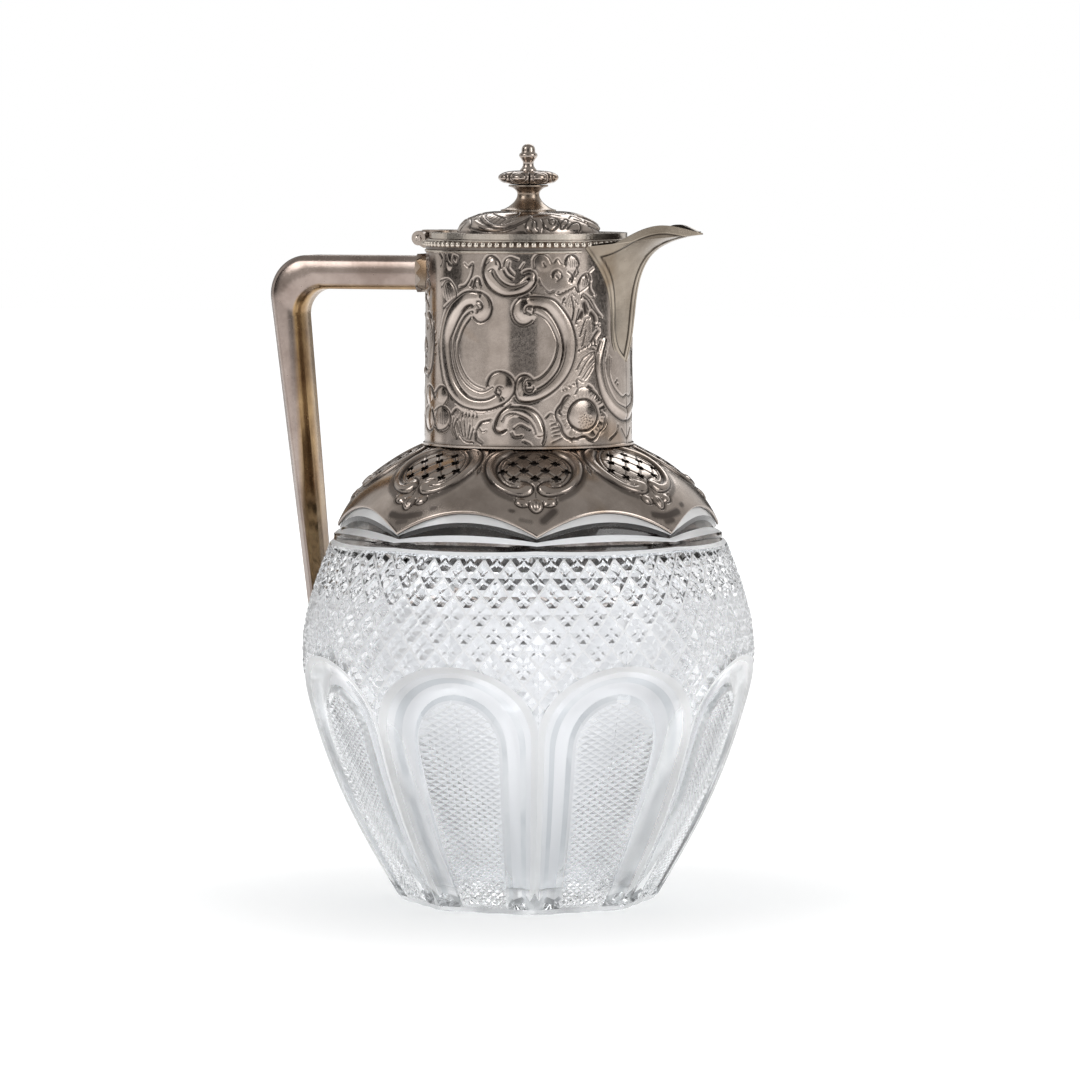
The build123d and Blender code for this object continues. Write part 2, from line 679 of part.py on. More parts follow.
def lid_dome():
    """Low dome of the lid, with a hole for the stud."""
    outer = dome_curve(0)
    inner = dome_curve(DOME_WALL)
    bore = STUD_RADIUS + PIN_FIT
    crown = outer @ 1
    under = inner @ 1
    return turned(
        outer,
        Line(crown, (bore, crown.Y)),
        Line((bore, crown.Y), (bore, under.Y)),
        Line((bore, under.Y), under),
        inner,
        Line(inner @ 0, outer @ 0),
    )


CROWN_HEIGHT = LID_UNDER + FLANGE_THICK + DOME_RISE
DISC_LOW = CROWN_HEIGHT + PEDESTAL_HEIGHT
STUD_TOP = DISC_LOW + DISC_THICK * 0.6


def finial_pedestal():
    """Turned spool under the lobed disc."""
    bore = STUD_RADIUS + PIN_FIT
    waist = Spline(
        (PEDESTAL_FOOT, CROWN_HEIGHT + PEDESTAL_EDGE),
        (PEDESTAL_FOOT * 0.62, CROWN_HEIGHT + PEDESTAL_HEIGHT * 0.25),
        (PEDESTAL_WAIST, CROWN_HEIGHT + PEDESTAL_HEIGHT * 0.6),
        (PEDESTAL_TOP, DISC_LOW - PEDESTAL_EDGE),
    )
    return turned(
        Line((bore, CROWN_HEIGHT), (PEDESTAL_FOOT, CROWN_HEIGHT)),
        Line((PEDESTAL_FOOT, CROWN_HEIGHT), waist @ 0),
        waist,
        Line(waist @ 1, (PEDESTAL_TOP, DISC_LOW)),
        Line((PEDESTAL_TOP, DISC_LOW), (bore, DISC_LOW)),
        Line((bore, DISC_LOW), (bore, CROWN_HEIGHT)),
    )


def finial_disc():
    """Lens-shaped disc with rounded lobes."""
    high = DISC_LOW + DISC_THICK
    rim = (DISC_RADIUS, DISC_LOW + DISC_THICK * 0.5)
    lens = turned(
        Line((0, DISC_LOW), (DISC_SEAT, DISC_LOW)),
        ThreePointArc((DISC_SEAT, DISC_LOW), rim, (DISC_FLAT, high)),
        Line((DISC_FLAT, high), (0, high)),
        Line((0, high), (0, DISC_LOW)),
    )
    lobe = DISC_RADIUS * sin(pi / DISC_LOBES) * 1.02
    petals = [
        Rot(0, 0, 360 / DISC_LOBES * n) * Pos(DISC_RADIUS - lobe, 0) * Circle(lobe) for n in range(DISC_LOBES)
    ]
    flower = Circle(DISC_RADIUS - lobe) + petals
    lobed = lens & (Pos(0, 0, DISC_LOW) * extrude(flower, DISC_THICK))
    bore = Pos(0, 0, DISC_LOW) * extrude(Circle(STUD_RADIUS + PIN_FIT), STUD_TOP - DISC_LOW)
    return lobed - bore


def finial_knop():
    """Acorn on top of the disc."""
    low = DISC_LOW + DISC_THICK
    tip = low + KNOP_HEIGHT
    acorn = Spline(
        (KNOP_RADIUS * 0.8, low),
        (KNOP_RADIUS * 0.55, low + KNOP_HEIGHT * 0.19),
        (KNOP_RADIUS, low + KNOP_HEIGHT * 0.5),
        (KNOP_RADIUS * 0.67, low + KNOP_HEIGHT * 0.76),
        (KNOP_RADIUS * 0.15, low + KNOP_HEIGHT * 0.97),
    )
    return turned(
        Line((0, low), acorn @ 0), acorn, Line(acorn @ 1, (0, tip)), Line((0, tip), (0, low))
    )


# ---------------------------------------------------------------- pieces
node("glass_vessel", glass_vessel())

plaster_low = NECK_LOW + PLASTER_LIFT
plaster_high = GLASS_NECK_TOP - PLASTER_SHORT
plaster_corners = [
    (GLASS_NECK_RADIUS + SEAT_GAP, plaster_low),
    (neck_radius(plaster_low) - NECK_WALL - SEAT_GAP, plaster_low),
    (neck_radius(plaster_high) - NECK_WALL - SEAT_GAP, plaster_high),
    (GLASS_NECK_RADIUS + SEAT_GAP, plaster_high),
]
node("plaster_bed", turned(*Polyline(*plaster_corners, close=True).edges()))

node("shoulder_collar", shoulder_collar())

spout_void = spout_body(SPOUT_WALL)
sleeve_tube = neck_cone(0, NECK_LOW, NECK_TOP_HEIGHT) - neck_cone(-NECK_WALL, NECK_LOW - 1, NECK_TOP_HEIGHT + 1)
node("neck_sleeve", sleeve_tube - spout_void)
node("joint_wire", moulding(NECK_FOOT_RADIUS + SEAT_GAP, NECK_LOW + JOINT_WIRE_RADIUS, JOINT_WIRE_RADIUS, 0, 360))
node("rim_fillet", moulding(neck_radius(FILLET_HEIGHT) + SEAT_GAP, FILLET_HEIGHT, FILLET_RADIUS, SPOUT_GAP, 360 - SPOUT_GAP))
node("beaded_wire_near", beaded_wire(-1))
node("beaded_wire_far", beaded_wire(1))
rim_corners = [
    (NECK_TOP_RADIUS - RIM_BAND_WALL, NECK_TOP_HEIGHT),
    (NECK_TOP_RADIUS, NECK_TOP_HEIGHT),
    (NECK_TOP_RADIUS, NECK_TOP_HEIGHT + RIM_BAND_HEIGHT),
    (NECK_TOP_RADIUS - RIM_BAND_WALL, NECK_TOP_HEIGHT + RIM_BAND_HEIGHT),
]
rim_face = outline(*Polyline(*rim_corners, close=True).edges())
node("rim_band", arc_of(rim_face, SPOUT_GAP, 360 - SPOUT_GAP))

spout = spout_body(0) - spout_trim() - neck_cone(SEAT_GAP, NECK_FOOT_HEIGHT, NECK_TOP_HEIGHT + 6)
node("spout", spout - spout_void - spout_panels())

cavity = handle_bar(HANDLE_WALL)
handle = handle_bar(0) - cavity - glass_envelope(FIT)
node("handle", handle)
node("handle_foot_plate", (cavity & glass_envelope(FIT + FOOT_PLATE)) - glass_envelope(FIT))
node("handle_socket", handle_socket())

node("hinge_fork", hinge_fork())
node("hinge_tongue", hinge_tongue())
node("hinge_pin", bar_across(PIN_RADIUS, -HINGE_WIDTH / 2 - PIN_PROUD, HINGE_WIDTH / 2 + PIN_PROUD))

flange_top = LID_UNDER + FLANGE_THICK
node("lid_flange", ring(DOME_RADIUS - 3 * DOME_WALL, LID_RADIUS, LID_UNDER, flange_top))
bezel_outer = NECK_TOP_RADIUS - RIM_BAND_WALL - RUNNING
node("lid_bezel", ring(bezel_outer - BEZEL_WALL, bezel_outer, LID_UNDER - BEZEL_DEPTH, LID_UNDER))
node("lid_dome", lid_dome())
node("finial_pedestal", finial_pedestal())
node("finial_disc", finial_disc())
node("finial_knop", finial_knop())
washer_low = CROWN_HEIGHT - DOME_WALL - WASHER_THICK
nut_low = washer_low - NUT_HEIGHT
node("finial_washer", ring(STUD_RADIUS + PIN_FIT, WASHER_RADIUS, washer_low, washer_low + WASHER_THICK))
nut = extrude(RegularPolygon(NUT_RADIUS, 6) - Circle(STUD_RADIUS + PIN_FIT), NUT_HEIGHT)
node("finial_nut", Pos(0, 0, nut_low) * nut)
node("finial_stud", Pos(0, 0, nut_low - STUD_PROUD) * extrude(Circle(STUD_RADIUS), STUD_TOP - nut_low + STUD_PROUD))
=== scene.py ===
import bpy, bmesh, json
import numpy as np
from math import acos, cos, degrees, pi, radians, sin, sqrt
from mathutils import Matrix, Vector
from mathutils.geometry import delaunay_2d_cdt

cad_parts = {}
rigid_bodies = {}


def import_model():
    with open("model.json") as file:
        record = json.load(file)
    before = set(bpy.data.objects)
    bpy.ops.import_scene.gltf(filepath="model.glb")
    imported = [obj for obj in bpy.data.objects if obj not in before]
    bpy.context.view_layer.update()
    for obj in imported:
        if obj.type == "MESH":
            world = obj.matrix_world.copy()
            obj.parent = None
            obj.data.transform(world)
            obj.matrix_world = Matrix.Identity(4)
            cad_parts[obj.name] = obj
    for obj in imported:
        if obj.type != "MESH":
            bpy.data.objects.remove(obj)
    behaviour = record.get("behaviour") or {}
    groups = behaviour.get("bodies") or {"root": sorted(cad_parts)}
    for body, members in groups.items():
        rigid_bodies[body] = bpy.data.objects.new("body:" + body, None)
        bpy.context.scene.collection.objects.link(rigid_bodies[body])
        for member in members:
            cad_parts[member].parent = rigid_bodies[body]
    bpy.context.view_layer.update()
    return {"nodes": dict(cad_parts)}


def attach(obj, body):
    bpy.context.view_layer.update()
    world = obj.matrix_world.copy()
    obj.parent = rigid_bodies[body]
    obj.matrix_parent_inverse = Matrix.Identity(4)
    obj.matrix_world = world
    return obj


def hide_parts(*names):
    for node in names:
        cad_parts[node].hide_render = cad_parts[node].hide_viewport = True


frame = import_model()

# Cut-glass claret jug with chased silver mounts. Its axis stands on the origin, the handle lies towards -x,
# the spout towards +x, and the near side faces -y. Pieces are sized in millimetres, the stage in metres.
MM = 0.001
TAU = 2 * pi


# ------------------------------------------------------------------ small tools
def deselect():
    for one in bpy.context.scene.objects:
        one.select_set(False)
    bpy.context.view_layer.objects.active = None


def placed(name, data):
    """An object of its own for a mesh, a lamp or a camera."""
    made = bpy.data.objects.new(name, data)
    bpy.context.scene.collection.objects.link(made)
    return made


def give(piece, mat):
    piece.data.materials.clear()
    piece.data.materials.append(mat)


def finished(piece, body, mat, smooth=30, replaces=()):
    """Merges doubles, turns faces outward, smooths, and puts the piece on its body."""
    deselect()
    work = bmesh.new()
    work.from_mesh(piece.data)
    bmesh.ops.remove_doubles(work, verts=work.verts, dist=1e-6)
    bmesh.ops.recalc_face_normals(work, faces=work.faces)
    work.to_mesh(piece.data)
    work.free()
    piece.select_set(True)
    bpy.context.view_layer.objects.active = piece
    bpy.ops.object.shade_smooth_by_angle(angle=radians(smooth))
    if mat:
        give(piece, mat)
    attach(piece, body)
    if replaces:
        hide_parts(*replaces)
    deselect()


def mesh_piece(name, points, faces, body, mat, replaces=(), smooth=40, kinds=None, tarnish=None):
    """A silver piece from computed points; or the glass, whose kinds say which finish each face has."""
    mesh = bpy.data.meshes.new(name)
    mesh.from_pydata((np.asarray(points) * MM).tolist(), [], [list(map(int, f)) for f in faces])
    mesh.update()
    piece = placed(name, mesh)
    if kinds:
        for one in mat:
            mesh.materials.append(one)
        mesh.polygons.foreach_set("material_index", kinds)
    if tarnish is not None:
        dark = mesh.attributes.new("tarnish", "FLOAT", "POINT").data
        dark.foreach_set("value", np.ravel(tarnish).astype(np.float32))
    finished(piece, body, None if kinds else mat, smooth, replaces)


def turned(name, profile, sides, body, mat, smooth, replaces):
    """Turned piece: a circle is extruded round its closed profile of (radius, height), as on a lathe."""
    deselect()
    r, z = profile[0]
    bpy.ops.mesh.primitive_circle_add(vertices=sides, radius=r * MM, location=(0, 0, z * MM))
    piece = bpy.context.active_object
    piece.name = name
    bpy.ops.object.transform_apply(location=True, rotation=True, scale=True)
    bpy.ops.object.mode_set(mode="EDIT")
    bpy.ops.mesh.select_all(action="SELECT")
    for r1, z1 in profile[1:] + profile[:1]:
        bpy.ops.mesh.extrude_region_move(TRANSFORM_OT_translate={"value": (0, 0, (z1 - z) * MM)})
        bpy.ops.transform.resize(value=(r1 / r, r1 / r, 1), center_override=(0, 0, z1 * MM))
        r, z = r1, z1
    bpy.ops.mesh.select_all(action="SELECT")
    bpy.ops.mesh.remove_doubles(threshold=2e-6)
    bpy.ops.mesh.normals_make_consistent(inside=False)
    bpy.ops.object.mode_set(mode="OBJECT")
    finished(piece, body, mat, smooth, replaces)


def run_along(line):
    """Length from the start of a line to each of its points."""
    return np.concatenate([[0], np.cumsum(np.linalg.norm(np.diff(line, axis=0), axis=1))])


def curve_through(points):
    """Natural cubic spline: second value as a smooth function of the first."""
    xs, ys = np.array(sorted(points)).T
    n = len(xs)
    step = np.diff(xs)
    matrix = np.eye(n)
    right = np.zeros(n)
    for i in range(1, n - 1):
        matrix[i, i - 1:i + 2] = step[i - 1], 2 * (step[i - 1] + step[i]), step[i]
        right[i] = 6 * ((ys[i + 1] - ys[i]) / step[i] - (ys[i] - ys[i - 1]) / step[i - 1])
    bend = np.linalg.solve(matrix, right)

    def value(x):
        x = np.asarray(x, float)
        i = np.clip(np.searchsorted(xs, x) - 1, 0, n - 2)
        a, b, h = xs[i + 1] - x, x - xs[i], step[i]
        cubic = (bend[i] * a ** 3 + bend[i + 1] * b ** 3) / (6 * h)
        return cubic + (ys[i] / h - bend[i] * h / 6) * a + (ys[i + 1] / h - bend[i + 1] * h / 6) * b
    return value


def ring_faces(rows, sides):
    """Faces between rings of points; a row with one point closes the shape at its middle."""
    faces = []
    for low, high in zip(rows[:-1], rows[1:]):
        for i in range(sides):
            j = (i + 1) % sides
            if len(high) == 1:
                faces.append((low[i], low[j], high[0]))
            else:
                faces.append((low[i], low[j], high[j], high[i]))
    return faces


def from_axis(radius, turn, height):
    """Points in space from a radius, an angle and a height."""
    return np.stack([radius * np.cos(turn), radius * np.sin(turn), height + 0 * turn], -1)


# ------------------------------------------------------------------ shader tools
def linear(code):
    """sRGB hex to linear."""
    parts = [int(code[i:i + 2], 16) / 255 for i in (1, 3, 5)]
    return tuple(c / 12.92 if c <= 0.04045 else ((c + 0.055) / 1.055) ** 2.4 for c in parts) + (1.0,)


def add(tree, kind, settings=None):
    """One node, by its settings and links: an option, a value for an input, or a socket to link to it."""
    made = tree.nodes.new("ShaderNode" + kind)
    for key, value in (settings or {}).items():
        if isinstance(key, str) and hasattr(made, key):
            setattr(made, key, value)
        elif isinstance(value, bpy.types.NodeSocket):
            tree.links.new(value, made.inputs[key])
        else:
            made.inputs[key].default_value = value
    return made


def material(name):
    made = bpy.data.materials.new(name)
    made.use_nodes = True
    made.node_tree.nodes.clear()
    return made, made.node_tree


def seen_by_eye(tree):
    """1 for what is seen straight on, mirrored or through glass; 0 for what only lights other things."""
    rays = add(tree, "LightPath").outputs
    direct, through, mirrored = (rays["Is %s Ray" % kind] for kind in ("Camera", "Transmission", "Glossy"))
    seen = add(tree, "Math", {"operation": "MAXIMUM", 0: direct, 1: through})
    seen = add(tree, "Math", {"operation": "MAXIMUM", 0: seen.outputs[0], 1: mirrored})
    return seen.outputs[0]


# ------------------------------------------------------------------ glass finishes
def glass_material(name, tone, rough, passes=1.0, light=None, scale=0.0):
    """Lead crystal; with a light tone too, the two tones are mixed unevenly by noise into painted shade and
    reflection of what stands over the glass.
    """
    mat, tree = material(name)
    colour = linear(tone)
    if light:
        place = add(tree, "TexCoord").outputs["Object"]
        flow = add(tree, "TexNoise", {"Vector": place, "Scale": scale, "Detail": 3.0, "Distortion": 0.8})
        share = add(tree, "MapRange", {"Value": flow.outputs["Fac"], "From Min": 0.46, "From Max": 0.66})
        # painted shade and reflection, mixed unevenly by noise
        painted_reflection_tone = add(tree, "Mix", {
            "data_type": "RGBA", 0: share.outputs["Result"], 6: colour, 7: linear(light)})
        colour = painted_reflection_tone.outputs[2]
    shader = add(tree, "BsdfPrincipled", {
        "Base Color": colour, "Roughness": rough, "IOR": 1.52, "Transmission Weight": passes})
    # light on its way to the table passes nearly undimmed
    clear = add(tree, "BsdfTransparent", {"Color": linear("#EDF0F1")})
    shadow = add(tree, "LightPath").outputs["Is Shadow Ray"]
    mix = add(tree, "MixShader", {0: shadow, 1: shader.outputs[0], 2: clear.outputs[0]})
    add(tree, "OutputMaterial", {"Surface": mix.outputs[0]})
    return mat


def painted_shade_lining_material():
    """Painted shade: a dark lining on the glass where the silver covers it, dull and close-grained, which
    makes the pierced crosses read dark.
    """
    mat, tree = material("dark_lining_of_painted_shade")
    place = add(tree, "TexCoord").outputs["Object"]
    grain = add(tree, "TexNoise", {"Vector": place, "Scale": 500.0, "Detail": 4.0})
    tone = add(tree, "Mix", {
        "data_type": "RGBA", 0: grain.outputs["Fac"], 6: linear("#4A413C"), 7: linear("#2E2724")})
    shader = add(tree, "BsdfPrincipled", {"Base Color": tone.outputs[2], "Roughness": 0.75})
    add(tree, "OutputMaterial", {"Surface": shader.outputs[0]})
    return mat


# clear and very slightly cool
crystal = glass_material("cut_and_polished_lead_crystal", "#F2F3F5", 0.03)
# milky enough to keep the far wall's cuts from cluttering the near ones
clouded = glass_material("blown_inner_face_clouded_by_wine", "#F2F3F5", 0.30)
# bottom of a mitre, too narrow to be polished: a fine pale line; also laid on the flutes' ridges and along
# the arches' outer edges as painted highlight
matt_line_and_painted_highlight = glass_material("matt_wheel_cut_line", "#FFFFFF", 0.42, 0.72)
# painted highlight: the brightest line of the jug, along the silver's scallops, in pale half-clear glass
lip_with_painted_highlight = glass_material("lip_under_the_collar_painted_highlight", "#FFFFFF", 0.12, 0.32)
# painted reflection: brown and grey, for the dark underside of the silver that hangs over the flutes
flute_with_painted_reflection = glass_material("polished_flute_painted_with_the_silvers_reflection", "#3A302A", 0.04, 1.0, "#9C948D", 45.0)
# painted shade: cool grey along the foot, for the shaded table seen through it
foot_with_painted_shade = glass_material("polished_foot_painted_with_the_tables_shade", "#6E7173", 0.04, 1.0, "#C4C8CA", 120.0)
# painted shade: a faint grey edge that draws each arch
bevel_with_painted_shade = glass_material("polished_bevel_of_the_arch_painted_shade", "#CDD2D6", 0.04, 1.0, "#F6F8F9", 30.0)
painted_shade_lining = painted_shade_lining_material()
CLEAR, CLOUDED, MATT_AND_PAINTED_HIGHLIGHT, PAINTED_SHADE_LINING, FLUTE, BEVEL, FOOT, LIP = range(8)
GLASS_FINISHES = [crystal, clouded, matt_line_and_painted_highlight, painted_shade_lining, flute_with_painted_reflection, bevel_with_painted_shade, foot_with_painted_shade, lip_with_painted_highlight]


# ------------------------------------------------------------------ the glass
HALF = 22.5                                   # half a panel, in degrees
BODY = curve_through([(2, 46.4), (27.2, 60.9), (63, 75.5), (91.6, 80.4), (131, 69.2)])
SHOULDER_R, SHOULDER_X, SHOULDER_Z = 50.8, 21.34, 113.85
UNDER = 1.2                                   # the glass below the silver's outer face
HEEL = 2.0                                    # height of the chamfer under the panels
SPRING, CROWN = 65.5, 90.0                    # where an arch begins to curve, and its top
FIELD_HALF, FIELD_SPRING, FIELD_RISE, FIELD_LOW = 11.9, 60.0, 17.0, 2.4
FIELD_TOP = FIELD_SPRING + FIELD_RISE
FIELD_TAPER = 51.5                            # a field narrows by a degree over this height
FIELD_LIFT = 0.9                              # the raised field over the panel's face
PYRAMID_WIDE, PYRAMID_TALL, PYRAMID_R = 4.1, 2.4, 66.0
GROOVE_A, GROOVE_Z, LATTICE_TOP = 7.5, 12.1, 126.2
BROAD_LINE, FINE_LINE = 0.05, 0.06            # share of a mitre that its matt line takes
PER_DEGREE = 1.25                             # length of a degree on the panels, about
# where the polished band of an arch is creased, from its outer edge to the field, and how hollow it is there
BAND = [0, 0.16, 0.30, 0.45, 0.60, 0.78, 0.92, 1.0]
BAND_DEPTH = [0, 0.30, 0.55, 1.35, 1.55, 1.25, 0.6, 0.0]
# the edges of the scalloped flutes from the top down: height at the middle, height at the cusp, depth
SCALLOPS = [
    (142.5, 134.6, 0.0), (142, 134, 0.0), (138.6, 133.3, 0.1), (137.3, 132.9, 0.95), (135.7, 132.5, 1.6),
    (134.2, 132.1, 1.9), (132.9, 131.5, 0.3), (132.1, 131.0, 0.1), (131.0, 130.5, 0.8), (129.8, 129.9, 1.25),
    (128.8, 129.3, 1.4), (127.6, 128.2, 0.2), (126.8, 127.4, 0.1),
]
# from the top down: painted highlight on the lip and the ridges, painted reflection of the silver in the
# hollows, painted shade on the last bevel
FLUTE_FINISH = ((0, 2, LIP), (2, 5, FLUTE), (5, 7, MATT_AND_PAINTED_HIGHLIGHT), (7, 10, FLUTE), (10, 11, MATT_AND_PAINTED_HIGHLIGHT), (11, 12, BEVEL))


def scallop(row, a):
    """Height of an edge of the flutes at an angle from the middle of a panel."""
    return row[0] + (row[1] - row[0]) * (a / HALF) ** 2


def blank(z):
    """Radius of the uncut glass."""
    z = np.asarray(z, float)
    arc = SHOULDER_X + np.sqrt(np.maximum((SHOULDER_R - UNDER) ** 2 - (z - SHOULDER_Z) ** 2, 0))
    return np.where(z < 131, BODY(z), np.where(z > 132.2, arc, 69.2 + (67.42 - 69.2) * (z - 131) / 1.2))


def arch_ellipse(a, z):
    """1 on the edge of an arched panel, less inside it."""
    return (a / HALF) ** 2 + (np.maximum(z - SPRING, 0) / (CROWN - SPRING)) ** 2


def arch_angle(z):
    """Half-width of an arched panel at a height, in degrees."""
    return HALF * np.sqrt(np.clip(1 - (np.maximum(z - SPRING, 0) / (CROWN - SPRING)) ** 2, 0, 1))


def field_side(z):
    return FIELD_HALF - (FIELD_SPRING - z) / FIELD_TAPER


def field_angle(z):
    """Half-width of the diamond-cut field of a panel, in degrees."""
    top = FIELD_HALF * np.sqrt(np.clip(1 - ((z - FIELD_SPRING) / FIELD_RISE) ** 2, 0, 1))
    return np.where(z < FIELD_SPRING, field_side(z), top)


def panel_radius(a, z):
    """Radius of the flat face of a panel before its band and field are cut."""
    reach = np.maximum(arch_angle(z), np.abs(a) + 1e-6)
    flat = blank(z) * np.cos(np.radians(reach)) / np.cos(np.radians(a))
    return np.where(z > CROWN, blank(z), flat)


def off_line(p):
    """Distance from the nearest cut of a family, as a share of the space between two."""
    return np.abs(p - np.round(p))


def lattice_ways(a, z):
    """The two directions of the big lattice."""
    across, down = (HALF - a) / GROOVE_A, (LATTICE_TOP - z) / GROOVE_Z
    return off_line(across + down), off_line(across - down)


def pyramid_ways(a, z):
    """The two directions of a field's small pyramids."""
    x = np.radians(a) * PYRAMID_R
    return off_line(x / PYRAMID_WIDE + z / PYRAMID_TALL), off_line(x / PYRAMID_WIDE - z / PYRAMID_TALL)


def lattice_depth(a, z):
    """A deep mitre, a flat, and a fine mitre half-way, in both directions."""
    deep, cross = 1.25, 0.45
    marks, depths = [0, BROAD_LINE, 0.30, 0.40, 0.5], [-deep, -deep * 0.95, 0, 0, -cross]
    return np.minimum(*(np.interp(t, marks, depths) for t in lattice_ways(a, z)))


def fine_depth(a, z):
    return -0.62 + 1.24 * np.maximum(np.minimum(*pyramid_ways(a, z)), FINE_LINE)


def in_lattice(a, z):
    """Inside the big lattice, a little short of the flutes and of the arch."""
    below = z < scallop(SCALLOPS[-1], a) - 0.02
    return (a > -0.001) & (a < HALF + 0.001) & below & (z > SPRING) & (arch_ellipse(a, z) > 1.003)


def in_field(a, z):
    """Inside the diamond-cut field of a panel, a little short of its edge."""
    return (a > -0.001) & (a < field_angle(z) - 0.02) & (z > FIELD_LOW + 0.05) & (z < FIELD_TOP - 0.1)


def crossing_lines(slope_a, slope_z, shift, low, high, inside):
    """Segments of a family of parallel lines a/slope_a + z/slope_z = n + shift that lie inside a zone."""
    found = []
    zs = np.linspace(0, 145, 1161)
    for n in range(low, high + 1):
        along = (n + shift - zs / slope_z) * slope_a
        ok = inside(along, zs)
        starts = np.flatnonzero(ok & ~np.roll(ok, 1))
        ends = np.flatnonzero(ok & ~np.roll(ok, -1))
        found += [[(along[s], zs[s]), (along[e], zs[e])] for s, e in zip(starts, ends) if e - s > 1]
    return found


def half_sector():
    """Points (a, z) and triangles of half a panel, creased along every cut."""
    points, edges = [], []

    def chain(line):
        start = len(points)
        points.extend(line)
        edges.extend((start + i, start + i + 1) for i in range(len(line) - 1))

    def along(line):
        """Points at even shares of a line's length."""
        line = np.array(line)
        run = run_along(line * [PER_DEGREE, 1.0])
        return np.stack([np.interp(np.linspace(0, 1, 41) * run[-1], run, line[:, i]) for i in (0, 1)], 1)

    chain([(float(a), HEEL) for a in np.linspace(0, HALF, 13)])
    for row in SCALLOPS:
        chain([(float(a), float(scallop(row, a))) for a in np.linspace(0, HALF, 19)])
    side = [HEEL, 8.5] + list(np.arange(12, 127, 2.0))
    for a, which in ((0.0, 0), (HALF, 1)):
        chain([(a, z) for z in side] + [(a, row[which]) for row in SCALLOPS[::-1]])
    # outer edge of the arch, outline of the field, and the creases between the two
    arch = [(HALF * sin(t), SPRING + (CROWN - SPRING) * cos(t)) for t in np.linspace(0, pi / 2, 25)]
    chain(arch)
    turns = np.linspace(0, pi / 2, 13)
    field_top = [(FIELD_HALF * sin(t), FIELD_SPRING + FIELD_RISE * cos(t)) for t in turns]
    foot = [(10.78, FIELD_LOW), (0.0, FIELD_LOW)]
    chain(field_top + [(field_side(z), z) for z in np.arange(57, FIELD_LOW, -3.0)] + foot)
    outer = along(arch + [(HALF, z) for z in np.arange(62, HEEL, -4.0)])
    inner = along(field_top + [(field_side(z), z) for z in np.arange(57, HEEL, -3.4)])
    for share in BAND[1:-1]:
        crease = outer + (inner - outer) * share
        crease = crease[crease[:, 1] > HEEL + 0.6]
        chain([(min(float(a), HALF - 0.05) if a > 0.01 else 0.0, float(z)) for a, z in crease])
    # both edges of each matt line, and the flats and fine mitres between them
    across, down = HALF / GROOVE_A, LATTICE_TOP / GROOVE_Z
    for t in (-BROAD_LINE, BROAD_LINE, 0.30, 0.40, 0.5, 0.60, 0.70):
        for line in crossing_lines(GROOVE_A, GROOVE_Z, (across + down) % 1 - t, -4, 24, in_lattice):
            chain(line)
        for line in crossing_lines(GROOVE_A, -GROOVE_Z, (across - down) % 1 - t, -24, 8, in_lattice):
            chain(line)
    wide = degrees(PYRAMID_WIDE / PYRAMID_R)
    for shift in (-FINE_LINE, FINE_LINE):
        rising = crossing_lines(wide, PYRAMID_TALL, shift, -1, 40, in_field)
        for line in rising + crossing_lines(wide, -PYRAMID_TALL, shift, -40, 8, in_field):
            chain(line)
    tips = [(i * wide / 2, k * 1.2) for i in range(0, 8) for k in range(2, 65) if (i + k) % 2 == 1]
    points.extend((a, z) for a, z in tips if in_field(np.array(a), np.array(z)))
    stretch = 1.3
    made = delaunay_2d_cdt([Vector((a * stretch, z)) for a, z in points], edges, [], 0, 1e-3)
    verts = np.array([(v.x / stretch, v.y) for v in made[0]])
    tris = np.array([f for f in made[2] if len(f) == 3])
    a, z = verts[tris].mean(axis=1).T
    return verts, tris[(a > 0) & (a < HALF) & (z > HEEL) & (z < scallop(SCALLOPS[0], a))]


def across_band(a, z):
    """Way across an arch's band, 0 at its outer edge; and a value that is 1 on the outline of the field."""
    inner_a = np.maximum(field_angle(np.minimum(z, FIELD_TOP - 0.01)), 0.0)
    top = np.sqrt((a / FIELD_HALF) ** 2 + (np.maximum(z - FIELD_SPRING, 0) / FIELD_RISE) ** 2)
    field_ellipse = np.where(z > FIELD_SPRING, top, a / np.maximum(inner_a, 1e-3))
    out_gap = np.where(z > SPRING, (1 - np.sqrt(arch_ellipse(a, z))) * 25, (HALF - a) * PER_DEGREE)
    in_gap = np.where(z > FIELD_SPRING, (field_ellipse - 1) * 15.5, (a - inner_a) * PER_DEGREE)
    return np.clip(out_gap / np.maximum(out_gap + np.maximum(in_gap, 0), 1e-6), 0, 1), field_ellipse


